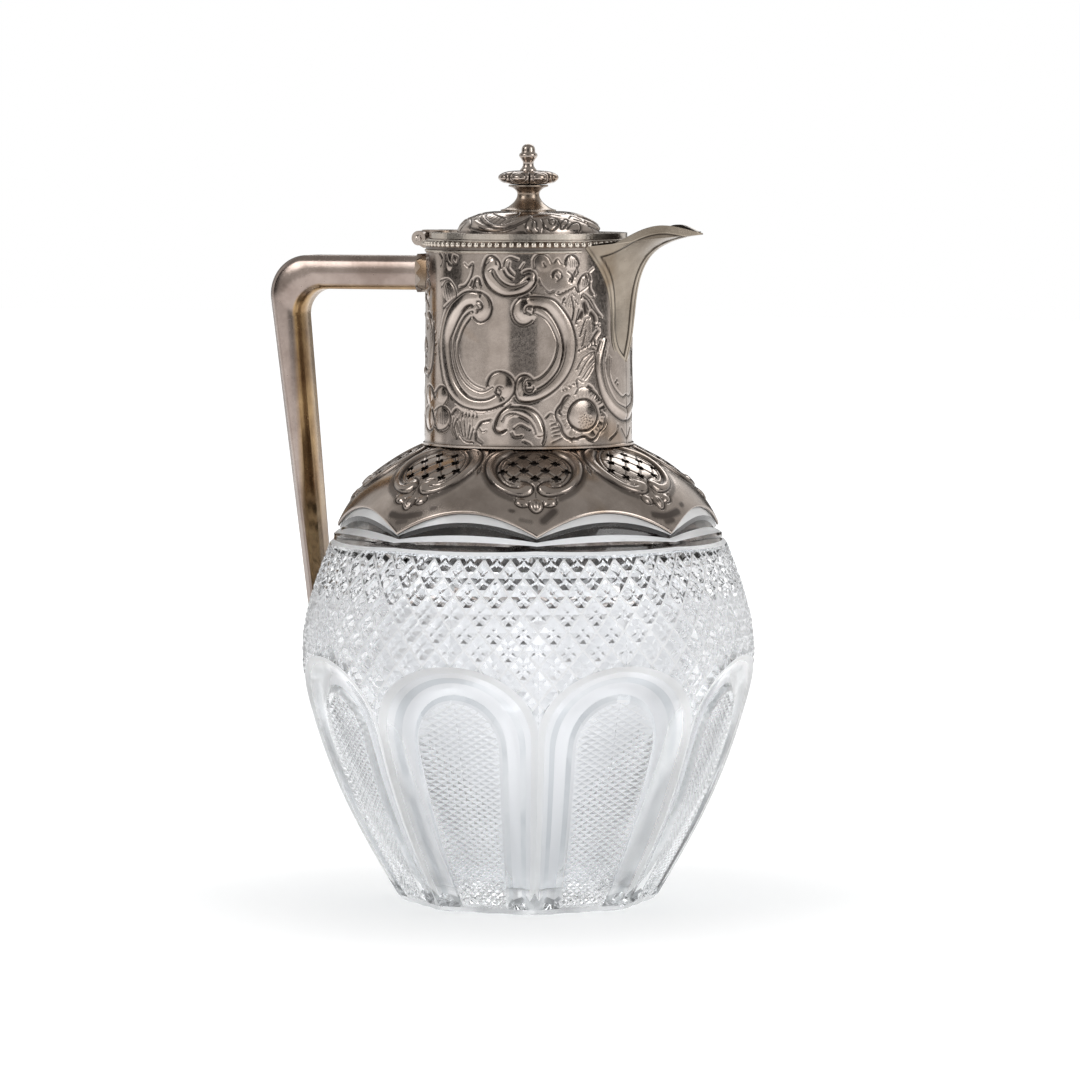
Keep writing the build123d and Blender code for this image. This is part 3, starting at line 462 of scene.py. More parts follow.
def sector_radius(a, z):
    """Radius of the cut glass."""
    # scalloped flutes, shallower towards the cusps
    cut = np.zeros(len(a))
    for upper, lower in zip(SCALLOPS[:-1], SCALLOPS[1:]):
        high, low = scallop(upper, a), scallop(lower, a)
        hit = (z <= high + 1e-3) & (z >= low - 1e-3)
        t = np.clip((high - z) / (high - low), 0, 1)
        cut = np.where(hit, upper[2] + (lower[2] - upper[2]) * t, cut)
    cut = cut * (1 - 0.45 * (a / HALF) ** 2)
    # big lattice between the flutes and the arch
    lowest = scallop(SCALLOPS[-1], a)
    outside = (a > arch_angle(z) + 1e-3) | (z > CROWN)
    fade = np.clip((np.sqrt(arch_ellipse(a, z)) - 1) / 0.02, 0, 1) * np.clip((lowest - z) / 0.3, 0, 1)
    radius = blank(z) - cut + np.where(outside & (z < lowest - 1e-3), lattice_depth(a, z) * fade, 0)
    # arched panel: bevel, hollow band and raised field
    t, field_ellipse = across_band(a, z)
    field = (field_ellipse < 1 - 1e-4) & (z > FIELD_LOW - 0.01) & (z < FIELD_TOP)
    heel = np.clip((z - HEEL) / 1.5, 0, 1)
    climb = FIELD_LIFT * np.clip((1.25 - field_ellipse) / 0.25, 0, 1) * heel
    edge = np.clip((1 - field_ellipse) * 14, 0, 1) * np.clip((z - FIELD_LOW) / 1.0, 0, 1)
    facet = np.where(field, fine_depth(a, z) * edge, -np.interp(t, BAND, BAND_DEPTH) * heel)
    face = panel_radius(a, z) + facet + np.where(field, FIELD_LIFT * heel, climb * (t > 0.9))
    return np.where(outside, radius, face)


def cut_finish(a, z):
    """Which finish each cut face has."""
    lattice = (z > SPRING) & (arch_ellipse(a, z) > 1.005) & (z < scallop(SCALLOPS[-1], a))
    wide, thin = np.minimum(*lattice_ways(a, z)) < BROAD_LINE, np.minimum(*pyramid_ways(a, z)) < FINE_LINE
    kind = np.where((lattice & wide) | (in_field(a, z) & thin), MATT_AND_PAINTED_HIGHLIGHT, CLEAR)
    for first, last, what in FLUTE_FINISH:
        kind = np.where((z < scallop(SCALLOPS[first], a)) & (z > scallop(SCALLOPS[last], a)), what, kind)
    t, field_ellipse = across_band(a, z)
    panel = (a < arch_angle(z)) & (z < CROWN) & (field_ellipse > 1)
    # across each arch's band: a pale strip at its outer edge as painted highlight, and two grey strips as
    # painted shade
    for low, high, what in ((0.0, 0.16, MATT_AND_PAINTED_HIGHLIGHT), (0.30, 0.45, BEVEL), (0.78, 0.92, BEVEL)):
        kind = np.where(panel & (t > low) & (t < high), what, kind)
    # painted shade on the foot, below the fields
    return np.where(panel & (z < 6.2) & (field_ellipse > 1.03), FOOT, kind)


def glass_vessel():
    """Eight cut panels, the star-cut base, and the plain neck, inside and floor."""
    verts, tris = half_sector()
    radius = sector_radius(*verts.T)
    cut_kinds = cut_finish(*verts[tris].mean(axis=1).T).tolist()
    points, faces, kinds = [], [], []
    count = 0
    for n in range(8):
        for side in (1, -1):
            angle = np.radians(45 * n + side * verts[:, 0])
            points.append(from_axis(radius, angle, verts[:, 1]))
            faces.extend((tris[:, ::side] + count).tolist())
            kinds += cut_kinds
            count += len(verts)
    steps = np.arange(0, 360, 1.875)
    sides = len(steps)
    fold = np.abs((steps + HALF) % 45 - HALF)    # angle from the middle of the nearest panel

    def ring(radii, heights):
        nonlocal count
        points.append(from_axis(radii, np.radians(steps), heights))
        count += sides
        return list(range(count - sides, count))

    def middle(height):
        nonlocal count
        points.append(np.array([[0, 0, height]]))
        count += 1
        return [count - 1]

    # base: heel, star of 24 rays, and centre
    heel_r = panel_radius(fold, np.full(sides, HEEL))
    base_r = heel_r - 1.75
    ray = np.abs(((steps + 7.5) % 15) - 7.5) / 7.5
    rows = [ring(heel_r, HEEL), ring(base_r, 0.25 * ray)]
    rows += [ring(base_r * part, 1.3 * ray * max(part - 0.2, 0) / 0.8) for part in (0.93, 0.8, 0.55, 0.32)]
    rows += [ring(5.0, 0.0), middle(0.0)]
    faces.extend(f[::-1] for f in ring_faces(rows, sides))
    # under the silver's shoulder, up the neck and over the lip
    shell = len(faces)
    edge_z = scallop(SCALLOPS[0], fold)
    inset = SHOULDER_R - UNDER
    up = [ring(blank(edge_z), edge_z)]
    for z in (146, 149, 152, 155, 158, 160.2, 161.5):
        up.append(ring(SHOULDER_X + sqrt(inset ** 2 - (z - SHOULDER_Z) ** 2), z))
    up += [ring(r, z) for r, z in ((33.7, 162.2), (33.5, 163.2), (33.5, 184.2), (32.9, 185))]
    outside = len(up) - 1
    # down the inside and across the floor
    bore, deep, floor = 29.0, inset - 6, 11.0
    up += [ring(r, z) for r, z in ((29.6, 185), (bore, 184.4), (bore, 172), (bore, 159))]
    arc = lambda t: (SHOULDER_Z + deep * sin(t), SHOULDER_X + deep * cos(t))
    inside = curve_through([(11, 36.1), (37.7, 54.9), (91.6, 73.4), arc(radians(45))])
    for angle in (78, 70, 62, 54, 45):
        z, r = arc(radians(angle))
        up.append(ring(max(r, bore), z))
    for z in list(np.arange(140, 12, -6.0)) + [12.6, 11.4]:
        up.append(ring(float(inside(z)) - (0.6 if z < 13 else 0), z))
    up += [ring(34.6, floor), ring(12.0, floor), middle(floor)]
    faces.extend(ring_faces(up, sides))
    # clear outside, clouded inside below the shoulder, and a dark lining of painted shade wherever the silver
    # covers the glass
    places = np.concatenate(points)
    kinds += [CLEAR] * (shell + outside * sides - len(kinds))
    kinds += [CLOUDED if places[list(f), 2].mean() < 112 else CLEAR for f in faces[len(kinds):]]
    covered = (places[:, 2] > 142.45) & (np.hypot(places[:, 0], places[:, 1]) > 33.6)
    kinds[shell:] = [PAINTED_SHADE_LINING if covered[list(f)].all() else k for f, k in zip(faces[shell:], kinds[shell:])]
    mesh_piece("glass_cut_body", places, faces, "jug", GLASS_FINISHES, ("glass_vessel",), 24, kinds)


# ------------------------------------------------------------------ silver finishes
def silver_material(name, bright, shade, stain, cover, rough, cuts=False, corners=0.0):
    """Worn sterling silver: clouds of tarnish, golden stains, dark sulphide where a cloth doesn't reach; the
    tarnish attribute of a chased sheet also holds painted shade under and between parts.
    """
    mat, tree = material(name)
    place = add(tree, "TexCoord").outputs["Object"]
    cloud = add(tree, "TexNoise", {"Vector": place, "Scale": 60.0, "Detail": 6.0, "Roughness": 0.62})
    soft = add(tree, "MapRange", {"Value": cloud.outputs["Fac"], "From Min": 0.38, "From Max": 0.68})
    tone = add(tree, "Mix", {
        "data_type": "RGBA", 0: soft.outputs["Result"], 6: linear(bright), 7: linear(shade)})
    patch = add(tree, "TexNoise", {"Vector": place, "Scale": 34.0, "Detail": 3.0, "Distortion": 0.6})
    share = add(tree, "MapRange", {
        "Value": patch.outputs["Fac"], "From Min": 0.62 - cover, "From Max": 0.80 - cover, "To Max": 0.85})
    tone = add(tree, "Mix", {
        "data_type": "RGBA", 0: share.outputs["Result"], 6: tone.outputs[2], 7: linear(stain)})
    rub = add(tree, "TexNoise", {"Vector": place, "Scale": 1100.0, "Detail": 3.0})
    dull = add(tree, "MapRange", {
        "Value": rub.outputs["Fac"], "To Min": rough - 0.07, "To Max": rough + 0.09}).outputs["Result"]
    if cuts or corners:
        if cuts:
            # holds sulphide in the cuts, and painted shade under and between parts that the sheets lay on
            dark = add(tree, "Attribute", {"attribute_name": "tarnish"}).outputs["Fac"]
        else:
            near = add(tree, "AmbientOcclusion", {"samples": 8, "only_local": True, "Distance": corners})
            reach = {"Value": near.outputs["AO"], "From Min": 0.92, "From Max": 0.45, "To Max": 0.95}
            dark = add(tree, "MapRange", reach).outputs["Result"]
        tone = add(tree, "Mix", {"data_type": "RGBA", 0: dark, 6: tone.outputs[2], 7: linear("#1D1613")})
        dull = add(tree, "Math", {"operation": "MULTIPLY_ADD", 0: dark, 1: 0.25, 2: dull}).outputs[0]
    shader = add(tree, "BsdfPrincipled", {"Base Color": tone.outputs[2], "Roughness": dull, "Metallic": 1.0})
    add(tree, "OutputMaterial", {"Surface": shader.outputs[0]})
    return mat


def handle_material():
    """Handled silver: rosy grey where a palm rubs it, golden brown on the inner faces, and painted shade low
    down by the glass, most on the faces turned in and down.
    """
    mat, tree = material("handled_silver_golden_inside")
    coord = add(tree, "TexCoord").outputs
    place, facing = (add(tree, "SeparateXYZ", {0: coord[name]}).outputs for name in ("Object", "Normal"))
    clouds = {"Vector": coord["Object"], "Scale": 55.0, "Detail": 6.0, "Roughness": 0.6}
    cloud = add(tree, "TexNoise", clouds).outputs["Fac"]
    soft = add(tree, "MapRange", {"Value": cloud, "From Min": 0.38, "From Max": 0.66}).outputs["Result"]
    under = add(tree, "Math", {"operation": "MULTIPLY", 0: facing["Z"], 1: -0.75})
    back = add(tree, "Math", {"operation": "MAXIMUM", 0: facing["X"], 1: under.outputs[0]})
    inside = add(tree, "MapRange", {"Value": back.outputs[0], "From Min": 0.35, "From Max": 0.62})
    inside = inside.outputs["Result"]
    # painted shade: darker low down towards the glass, most on the faces turned in and down
    uneven = add(tree, "Math", {"operation": "MULTIPLY_ADD", 0: cloud, 1: 0.05, 2: place["Z"]})
    low = add(tree, "MapRange", {"Value": uneven.outputs[0], "From Min": 0.185, "From Max": 0.125})
    low_shade_strength = add(tree, "Math", {"operation": "MULTIPLY_ADD", 0: inside, 1: 0.45, 2: 0.40})
    painted_shade_low_down = add(tree, "Math", {"operation": "MULTIPLY", 0: low.outputs["Result"], 1: low_shade_strength.outputs[0]})
    rosy = add(tree, "Mix", {"data_type": "RGBA", 0: soft, 6: linear("#AC9E96"), 7: linear("#8A7B73")})
    gold = add(tree, "Mix", {"data_type": "RGBA", 0: soft, 6: linear("#B89A70"), 7: linear("#7C6044")})
    tone = add(tree, "Mix", {"data_type": "RGBA", 0: inside, 6: rosy.outputs[2], 7: gold.outputs[2]})
    tone = add(tree, "Mix", {
        "data_type": "RGBA", 0: painted_shade_low_down.outputs[0], 6: tone.outputs[2], 7: linear("#33251D")})
    rub = add(tree, "TexNoise", {"Vector": coord["Object"], "Scale": 1100.0, "Detail": 3.0})
    dull = add(tree, "MapRange", {"Value": rub.outputs["Fac"], "To Min": 0.17, "To Max": 0.32})
    shader = add(tree, "BsdfPrincipled", {
        "Base Color": tone.outputs[2], "Roughness": dull.outputs["Result"], "Metallic": 1.0})
    add(tree, "OutputMaterial", {"Surface": shader.outputs[0]})
    return mat


def plain_material(name, colour, rough, metal, scale):
    """For the hidden bed and fixings: a fine grain in one tone."""
    mat, tree = material(name)
    place = add(tree, "TexCoord").outputs["Object"]
    grain = add(tree, "TexNoise", {"Vector": place, "Scale": scale, "Detail": 3.0})
    swing = add(tree, "MapRange", {"Value": grain.outputs["Fac"], "To Min": 0.8, "To Max": 1.15})
    tone = add(tree, "HueSaturation", {"Color": linear(colour), "Value": swing.outputs["Result"]})
    shader = add(tree, "BsdfPrincipled", {
        "Base Color": tone.outputs["Color"], "Roughness": rough, "Metallic": metal})
    add(tree, "OutputMaterial", {"Surface": shader.outputs[0]})
    return mat


# rosy white silver, with the marks of the tool drawn in dark brown
chased = silver_material(
    "chased_silver_dark_in_the_cuts", "#C6BAB1", "#A1958C", "#9C846C", 0.01, 0.15, cuts=True)
# plain parts, dark only in their corners
polished = silver_material(
    "raised_and_polished_silver", "#BEB3AA", "#988C83", "#8C7259", 0.05, 0.20, corners=0.0016)
# socket and pedestal, browner and duller
golden = silver_material(
    "silver_under_golden_tarnish", "#A99C8F", "#87796D", "#7E664E", 0.08, 0.27, corners=0.0022)
# the spout's even olive-gold
gilded = silver_material(
    "spout_silver_with_golden_bloom", "#ABA092", "#867A6C", "#7A6750", 0.09, 0.18, cuts=True)
# painted shade in the gaps, so that each bead stands out
wire_with_painted_shade = silver_material("wire_painted_shade_between_the_beads", "#6E6259", "#4A403A", "#5B4634", 0.05, 0.35)
# the bright edges of the rim and the lid
bright_rim = silver_material(
    "rubbed_bright_silver_edge", "#D6CDC2", "#B9AFA4", "#A89880", -0.05, 0.20, corners=0.0012)
handled = handle_material()
plaster = plain_material("set_plaster_of_paris", "#DAD4C8", 0.9, 0.0, 700.0)
brass = plain_material("turned_brass", "#B99A5A", 0.35, 1.0, 900.0)


# ------------------------------------------------------------------ chasing
def flowing(points, steps=5):
    """Smooth curve through the marks of a stroke."""
    p = np.array(points, float)
    if len(p) < 3:
        return p if len(p) > 1 else np.vstack([p, p])
    p = np.vstack([2 * p[0] - p[1], p, 2 * p[-1] - p[-2]])
    t = np.linspace(0, 1, steps, endpoint=False)[:, None]
    parts = [
        0.5 * (2 * b + (c - a) * t + (2 * a - 5 * b + 4 * c - d) * t ** 2 + (3 * b - a - 3 * c + d) * t ** 3)
        for a, b, c, d in zip(p[:-3], p[1:-2], p[2:-1], p[3:])]
    path = np.vstack(parts + [p[-2:-1]])
    for _ in range(3 if len(points) > 6 else 0):
        path[2:-2] = (path[:-4] + 2 * path[1:-3] + 3 * path[2:-2] + 2 * path[3:-1] + path[4:]) / 9
    return path


def between(one, other, share):
    """Curve between two curves."""
    def even(points):
        path = flowing(points)
        run = run_along(path)
        t = np.linspace(0, run[-1], 40)
        return np.stack([np.interp(t, run, path[:, i]) for i in (0, 1)], 1)
    return even(one) * (1 - share) + even(other) * share


class Chasing:
    """Relief of a sheet of metal, the tarnish in its cuts and the painted shade laid on it; a place is how
    far along and up the sheet.
    """

    def __init__(self, along, up):
        self.u, self.v = along.ravel(), up.ravel()
        self.high, self.cut, self.dark = np.zeros((3, self.u.size))

    def near(self, path, reach):
        """The sheet's points near a path, and how far from it each one lies."""
        low, top = path.min(0) - reach, path.max(0) + reach
        at = np.flatnonzero((self.u > low[0]) & (self.u < top[0]) & (self.v > low[1]) & (self.v < top[1]))
        u, v = self.u[at], self.v[at]
        best = np.full(at.size, 1e3)
        for a, b in zip(path[:-1], path[1:]):
            d = b - a
            t = np.clip(((u - a[0]) * d[0] + (v - a[1]) * d[1]) / max(d @ d, 1e-9), 0, 1)
            best = np.minimum(best, np.hypot(u - a[0] - t * d[0], v - a[1] - t * d[1]))
        hit = best < reach
        return at[hit], best[hit]

    def line(self, points, width=0.6, deep=0.35, dark=0.9, halo=0.18):
        """A cut made with a tracing tool, with tarnish in it and a soft stain beside it."""
        reach = 2.2
        at, far = self.near(flowing(points), reach)
        self.cut[at] = np.maximum(self.cut[at], deep * np.clip(1 - far / (0.75 * width), 0, 1))
        self.dark[at] = np.maximum(self.dark[at], dark * np.exp(-(far / (0.62 * width)) ** 2))
        self.dark[at] = np.maximum(self.dark[at], halo * np.clip(1 - far / reach, 0, 1))

    def lines(self, many, *cut):
        for points in many:
            self.line(points, *cut)

    def swell(self, points, half, high):
        """A rounded band pushed up from behind."""
        at, far = self.near(flowing(points), half)
        self.high[at] = np.maximum(self.high[at], high * np.sqrt(np.clip(1 - (far / half) ** 2, 0, 1)))

    def boss(self, x, y, wide, tall, high):
        """An oval pushed up from behind."""
        near = np.sqrt(((self.u - x) / wide) ** 2 + ((self.v - y) / tall) ** 2)
        self.high = np.maximum(self.high, high * np.clip(1 - near ** 2, 0, 1))

    def stain(self, points, half, dark):
        """A soft dark patch along a path, with no relief; it serves for tarnish stains and for painted shade
        under and between parts.
        """
        at, far = self.near(flowing(points), half)
        self.dark[at] = np.maximum(self.dark[at], dark * np.clip(1.6 * (1 - far / half), 0, 1))

    def result(self, shape):
        """Height and tarnish of every point of the sheet."""
        return (self.high - self.cut).reshape(shape), self.dark.reshape(shape)


def oval(x, y, wide, tall, turns):
    return [(x + wide * cos(t), y + tall * sin(t)) for t in turns]


# ------------------------------------------------------------------ sheets of silver
def pierced_sheet(name, outer, inner, tarnish, keep, mat, replaces=(), smooth=40):
    """A sheet with a thickness, from two grids of points; cells that keep leaves out are holes through it."""
    size = outer.shape[0] * outer.shape[1]
    index = np.arange(size).reshape(outer.shape[:2])
    quads = np.stack([index[:-1, :-1], index[:-1, 1:], index[1:, 1:], index[1:, :-1]], -1)[keep]
    edges = np.vstack([quads[:, [i, (i + 1) % 4]] for i in range(4)])
    code = edges[:, 0].astype(np.int64) * size + edges[:, 1]
    back = edges[:, 1].astype(np.int64) * size + edges[:, 0]
    start, end = edges[~np.isin(code, back)].T
    walls = np.stack([end, start, start + size, end + size], -1)
    used, fresh = np.unique(np.vstack([quads, quads[:, ::-1] + size, walls]), return_inverse=True)
    places = np.vstack([outer.reshape(-1, 3), inner.reshape(-1, 3)])[used]
    # the back face and the walls of the holes nearly black: painted shade, so that the pierced crosses read
    # dark
    dark = np.concatenate([tarnish.ravel(), np.full(size, 0.9)])[used]
    mesh_piece(name, places, fresh.reshape(-1, 4), "jug", mat, replaces, smooth, tarnish=dark)


def swept_sheet(name, grid, tarnish, wrap, body="jug", replaces=(), smooth=40, ends=()):
    """A sheet from a grid whose rows close on themselves; wrap joins its last column to its first.

    Ends are columns to close off, each with the number of its rows that lie on the sheet's outer face.
    """
    index = np.arange(grid.shape[0] * grid.shape[1]).reshape(grid.shape[:2])
    left = index if wrap else index[:, :-1]
    right = np.roll(index, -1, axis=1) if wrap else index[:, 1:]
    quads = np.stack([left, right, np.roll(right, -1, axis=0), np.roll(left, -1, axis=0)], -1)
    faces = quads.reshape(-1, 4).tolist()
    places = grid.reshape(-1, 3)
    height = places[:, 2]
    for column, outer_rows in ends:
        out, back = index[:outer_rows, column], index[outer_rows:, column][::-1]
        i = j = 0
        while i < len(out) - 1 or j < len(back) - 1:
            if j == len(back) - 1 or (i < len(out) - 1 and height[out[i + 1]] <= height[back[j + 1]]):
                faces.append([out[i], out[i + 1], back[j]])
                i += 1
            else:
                faces.append([out[i], back[j + 1], back[j]])
                j += 1
    mesh_piece(name, places, faces, body, chased, replaces, smooth, tarnish=tarnish)


# ------------------------------------------------------------------ neck
# Its strokes: millimetres round from the near side towards the spout, and height over the table.
BROAD = [
    [(-1.8, 184.7), (-2, 186.4), (-0.8, 188.4), (1.5, 189.7), (4.6, 189.5), (6.9, 188), (8.1, 185.6),
     (7.9, 182.6), (5.6, 179.4), (2.3, 177.4), (-1.6, 176.1), (-5.7, 176), (-10.8, 176.8), (-15.6, 179.2),
     (-19.7, 182.5), (-22.1, 187.4), (-23.9, 193.6), (-24.8, 199.7), (-23.6, 203.9), (-21.7, 209.4),
     (-18.2, 213.3), (-14.4, 215.5), (-10.9, 217.5), (-6.3, 217.6), (-2.7, 216.5), (-0.7, 214.1),
     (-0.4, 211.4), (-1.5, 208.4), (-3.9, 206.8), (-6, 207), (-7.7, 208.6)],
    [(12.8, 216.6), (9.1, 215), (6.9, 211.2), (7.8, 207.9), (9.9, 206.2), (12.2, 206.2), (14.1, 207.5)],
    [(9.2, 215.3), (14.6, 216.1), (20.9, 215.5), (23.4, 213.6), (26.3, 210.3), (28.6, 206.5), (29.8, 202.5),
     (30.1, 200.3), (29.8, 196.2), (28.6, 191.6), (26.2, 187.6), (23.4, 184.5), (20.1, 181.8), (16.2, 179.7),
     (12.5, 178.9), (9.2, 179.4), (8, 182.4), (8.1, 185.6), (9.6, 188.1), (11.6, 188.6), (13.2, 188),
     (14.3, 186.7)],
    [(2.8, 225.7), (2.2, 228.4), (-0.4, 230.3), (-2.7, 229.2), (-3.9, 225.7), (-3, 221.4), (-0.9, 218.4),
     (2.2, 216.6), (5.8, 215.8), (9.9, 216.6), (12.6, 217.6), (14.6, 219.5), (15.7, 222.3), (14.6, 224.7),
     (12.5, 225), (10.9, 224.2)],
    [(6.6, 178.2), (3.6, 176.2), (1.5, 173.7), (0.5, 170.7), (1.5, 168.5), (3.6, 168), (5.1, 169.3)],
    [(6.5, 177.5), (9.2, 177.5), (13.3, 177), (16.5, 174.6), (18.4, 170.8), (18.4, 166.7), (17.6, 164.6)],
    [(40.7, 200), (38.9, 196), (38.3, 191.4), (39.6, 184.9), (42.2, 178.9), (46.8, 174.4), (53, 171.7),
     (56.9, 171.5)],
    [(0.7, 181.3), (-1.6, 180), (-5.5, 179.7), (-9.5, 180.6), (-13.3, 183.7), (-16.3, 188.1), (-18.2, 193.7),
     (-18.9, 199.9), (-17.8, 201.9), (-15.1, 206.8), (-12.2, 210.7), (-10.2, 212.4), (-8.2, 212.7)],
    [(14.9, 212.3), (18.2, 211.8), (21.2, 209), (23.7, 205), (25.1, 200.9), (25.3, 196.4), (24, 191.4),
     (21.4, 187.7), (18.4, 185), (15.7, 183.7)],
    [(27.1, 181.4), (25.4, 180.7), (24.5, 178.5), (22.6, 176.7), (22.3, 173.7), (24.5, 171.2), (24.8, 168.5),
     (26.8, 166.3), (29.8, 165.7), (33.2, 167.3), (35.8, 165.3), (38.5, 166), (39.6, 168.4), (42.2, 169.4),
     (42.6, 172.9)],
]
MIDDLE = [
    [(0, 184.3), (-3, 182.5), (-5.7, 182.7), (-9.2, 184.1), (-13.3, 187.7), (-16, 193.8), (-16.7, 200),
     (-15.5, 202.8), (-12.9, 207.4), (-9.9, 210.2), (-7.9, 210.6)],
    [(-3, 183.7), (-5.2, 184.2), (-8.3, 185.6), (-11.7, 189), (-14.6, 195.1), (-14.3, 200), (-14, 200.1),
     (-12.2, 204.7), (-8.6, 208.6)],
    [(14.9, 210.1), (17.9, 208.8), (20.6, 206.1), (22.3, 202.3), (23.1, 200.3), (22.8, 197.1), (21.7, 193.4),
     (19.2, 189.6), (16.5, 187.5), (14.4, 186.7)],
    [(-1.2, 224.9), (0.2, 225.7), (1.3, 223.3), (3.6, 220.6), (7.2, 219.3), (10.4, 220.1), (12, 220.9)],
    [(3.8, 172.7), (4.6, 174.4), (7.4, 175.4), (9.2, 174.6), (12.5, 173.2), (14.6, 170.8), (15.4, 168.1)],
    [(7.1, 168.5), (8.1, 167.1), (10.6, 167.3)],
    [(44.2, 199.9), (42.6, 194.6), (43, 188.3), (45.5, 182.6), (50.2, 178), (56.9, 176.1)],
    [(45.5, 194.5), (45.5, 188.2), (48.2, 183.5), (53.6, 180.1), (56.9, 180.7)],
    [(-6.3, 213), (-5.1, 211.6), (-6.3, 210.3)], [(1.5, 184), (3.1, 183.1), (2.6, 181.1)],
    [(13.8, 186.7), (12.2, 186.7), (11.5, 185.3), (12.2, 183.7), (14.1, 183.7)],
    [(13.8, 212.3), (12.2, 212.3), (11.8, 211), (13.3, 209.9)],
    [(32.3, 215.4), (33.2, 216.7), (36.1, 214.8), (38.9, 210.9), (41.5, 208.4)],
    [(28.3, 220.8), (28.9, 223), (27.1, 224.6)],
    [(31.3, 217.6), (31, 220.3), (32.3, 222.7), (34.2, 223.2), (35.1, 222.1)],
    [(-5.2, 170.8), (-3.5, 172.1), (-0.6, 173)],
    [(-13.6, 219.1), (-10.9, 219.9), (-8.6, 223.2), (-7.9, 227.3), (-9.9, 226.1), (-11.5, 227.2)],
    [(-23.1, 219.1), (-21.2, 221.1), (-18.2, 220.9), (-15.9, 218.2), (-15.1, 215.5), (-17, 214.7),
     (-21.7, 211.8)],
    [(14.4, 225.8), (14.6, 229), (17.1, 230.9), (19.8, 229.5), (20.9, 227.6)],
    [(26, 226.8), (26.3, 229.2), (28.3, 230.3), (30.4, 229.2), (31.3, 227.5)],
    [(-22.1, 176.9), (-18.9, 175.8), (-17.4, 172.7), (-18.9, 169.4), (-22.6, 167.7), (-26.8, 168.8),
     (-27.9, 172.7), (-25.8, 175.8)],
    [(-27.9, 179.7), (-26.3, 182.5), (-23, 184), (-20.1, 183), (-19.1, 180.3), (-20.1, 177.8)],
    [(50.2, 170.4), (49.2, 167.8), (45.1, 165.5)], [(53, 169), (56.9, 165.5)],
    [(22.8, 216.8), (24.3, 216.6), (26.3, 217.6), (28.3, 218.4), (29.8, 219.5), (30.7, 217.8), (31.3, 217.3)],
    [(-14.6, 166.3), (-16, 170.2), (-14.6, 173)], [(-13.6, 167.3), (-10.8, 165), (-7.5, 164.8)],
    [(-6.3, 169.5), (-5.7, 166.6), (-3.8, 164.9)],
]
FINE = [
    [(3.9, 226.3), (4.4, 228.4), (6.3, 229.5), (9.1, 228.7)], [(4.1, 225.2), (5.3, 223.3), (7.4, 222)],
    [(6.1, 227.9), (5.8, 225.8), (7.7, 223.6)], [(11.2, 227.4), (9.9, 225.5)],
    [(-13.3, 167.8), (-14.6, 171.5)], [(-12, 166.9), (-13.3, 172.1)], [(-10.8, 167.2), (-11.4, 172.6)],
    [(-9.8, 166.2), (-8.9, 171)], [(-8.9, 165.8), (-7.5, 169.8)], [(-12, 175.4), (-12.3, 174.2)],
    [(-10.4, 175.2), (-10.7, 174)], [(-9.2, 175), (-9.5, 173.8)], [(-7.5, 174.7), (-7.7, 173.5)],
    [(-6, 174.6), (-6.3, 173.4)], [(-4.9, 169.8), (-3.8, 168.5), (-2.4, 169.1)],
    [(-8.9, 220.2), (-8.2, 218.6)], [(-7, 220.8), (-6.6, 218.9)], [(-7, 221.3), (-5.4, 221.3), (-4.5, 218.7)],
    [(21.7, 227.6), (23.1, 229), (24.5, 227.3)], [(21.2, 223.1), (21.4, 224.4), (23.1, 225.2), (24.5, 224.1)],
    [(16.5, 222), (16.5, 220.1), (17.6, 219.6)], [(18.7, 217.7), (20.1, 216.9), (21.7, 217.4)],
    [(29.8, 222.7), (31, 224.3), (30.4, 226.2)], [(35.8, 221.8), (35.5, 224), (37.5, 225.6)],
    [(35.8, 220.7), (35.8, 219.4), (36.5, 217.7), (37.5, 216.4)],
    [(33.2, 215.9), (34.8, 214.8), (37.5, 211.5), (40.4, 208.7)], [(25.7, 215.5), (24.8, 213.6)],
    [(28.6, 217.1), (29.5, 216.2)], [(29.8, 214.6), (31, 213.2)], [(28.3, 207.1), (29.2, 211.7), (28.3, 216)],
    [(29.8, 206.2), (31.3, 211.6)], [(31.6, 201.9), (33.8, 207.5), (35.8, 208.3)],
    [(32.6, 198.6), (34.2, 204.3)], [(33.8, 187), (35.4, 188.8), (37.1, 191.2)], [(24.8, 183.2)],
    [(25.8, 184)], [(27.3, 184.8)], [(28.9, 185.4)], [(30.7, 184.3), (30.4, 187), (32.9, 185.9)],
    [(29.6, 181.7), (30.7, 183.5), (32.5, 184.3)], [(35, 184)], [(31, 196.7), (31.6, 197.3)],
    [(33.2, 197.8), (33.8, 198.6)], [(35.1, 198.5), (35.8, 199.3)], [(37.1, 197.7), (38.2, 197.1)],
    [(18.7, 173.7), (20.3, 175.1), (22, 174.5)], [(20.9, 164.8), (24.5, 166.4)], [(20.6, 171), (23.4, 172.3)],
    [(20.9, 169.7), (23.7, 170.4)], [(21.2, 168.3), (24, 169.1)], [(21.4, 167.2), (23.7, 167.5)],
]
DEEP = [
    [(33.7, 213.5), (34.2, 210.2)], [(32.6, 210.3), (31.6, 208.6)],
    [(36.5, 209.9), (37.8, 208.8), (38.2, 207.2)], [(36.8, 200.2), (38.2, 202), (39.6, 203.4)],
]
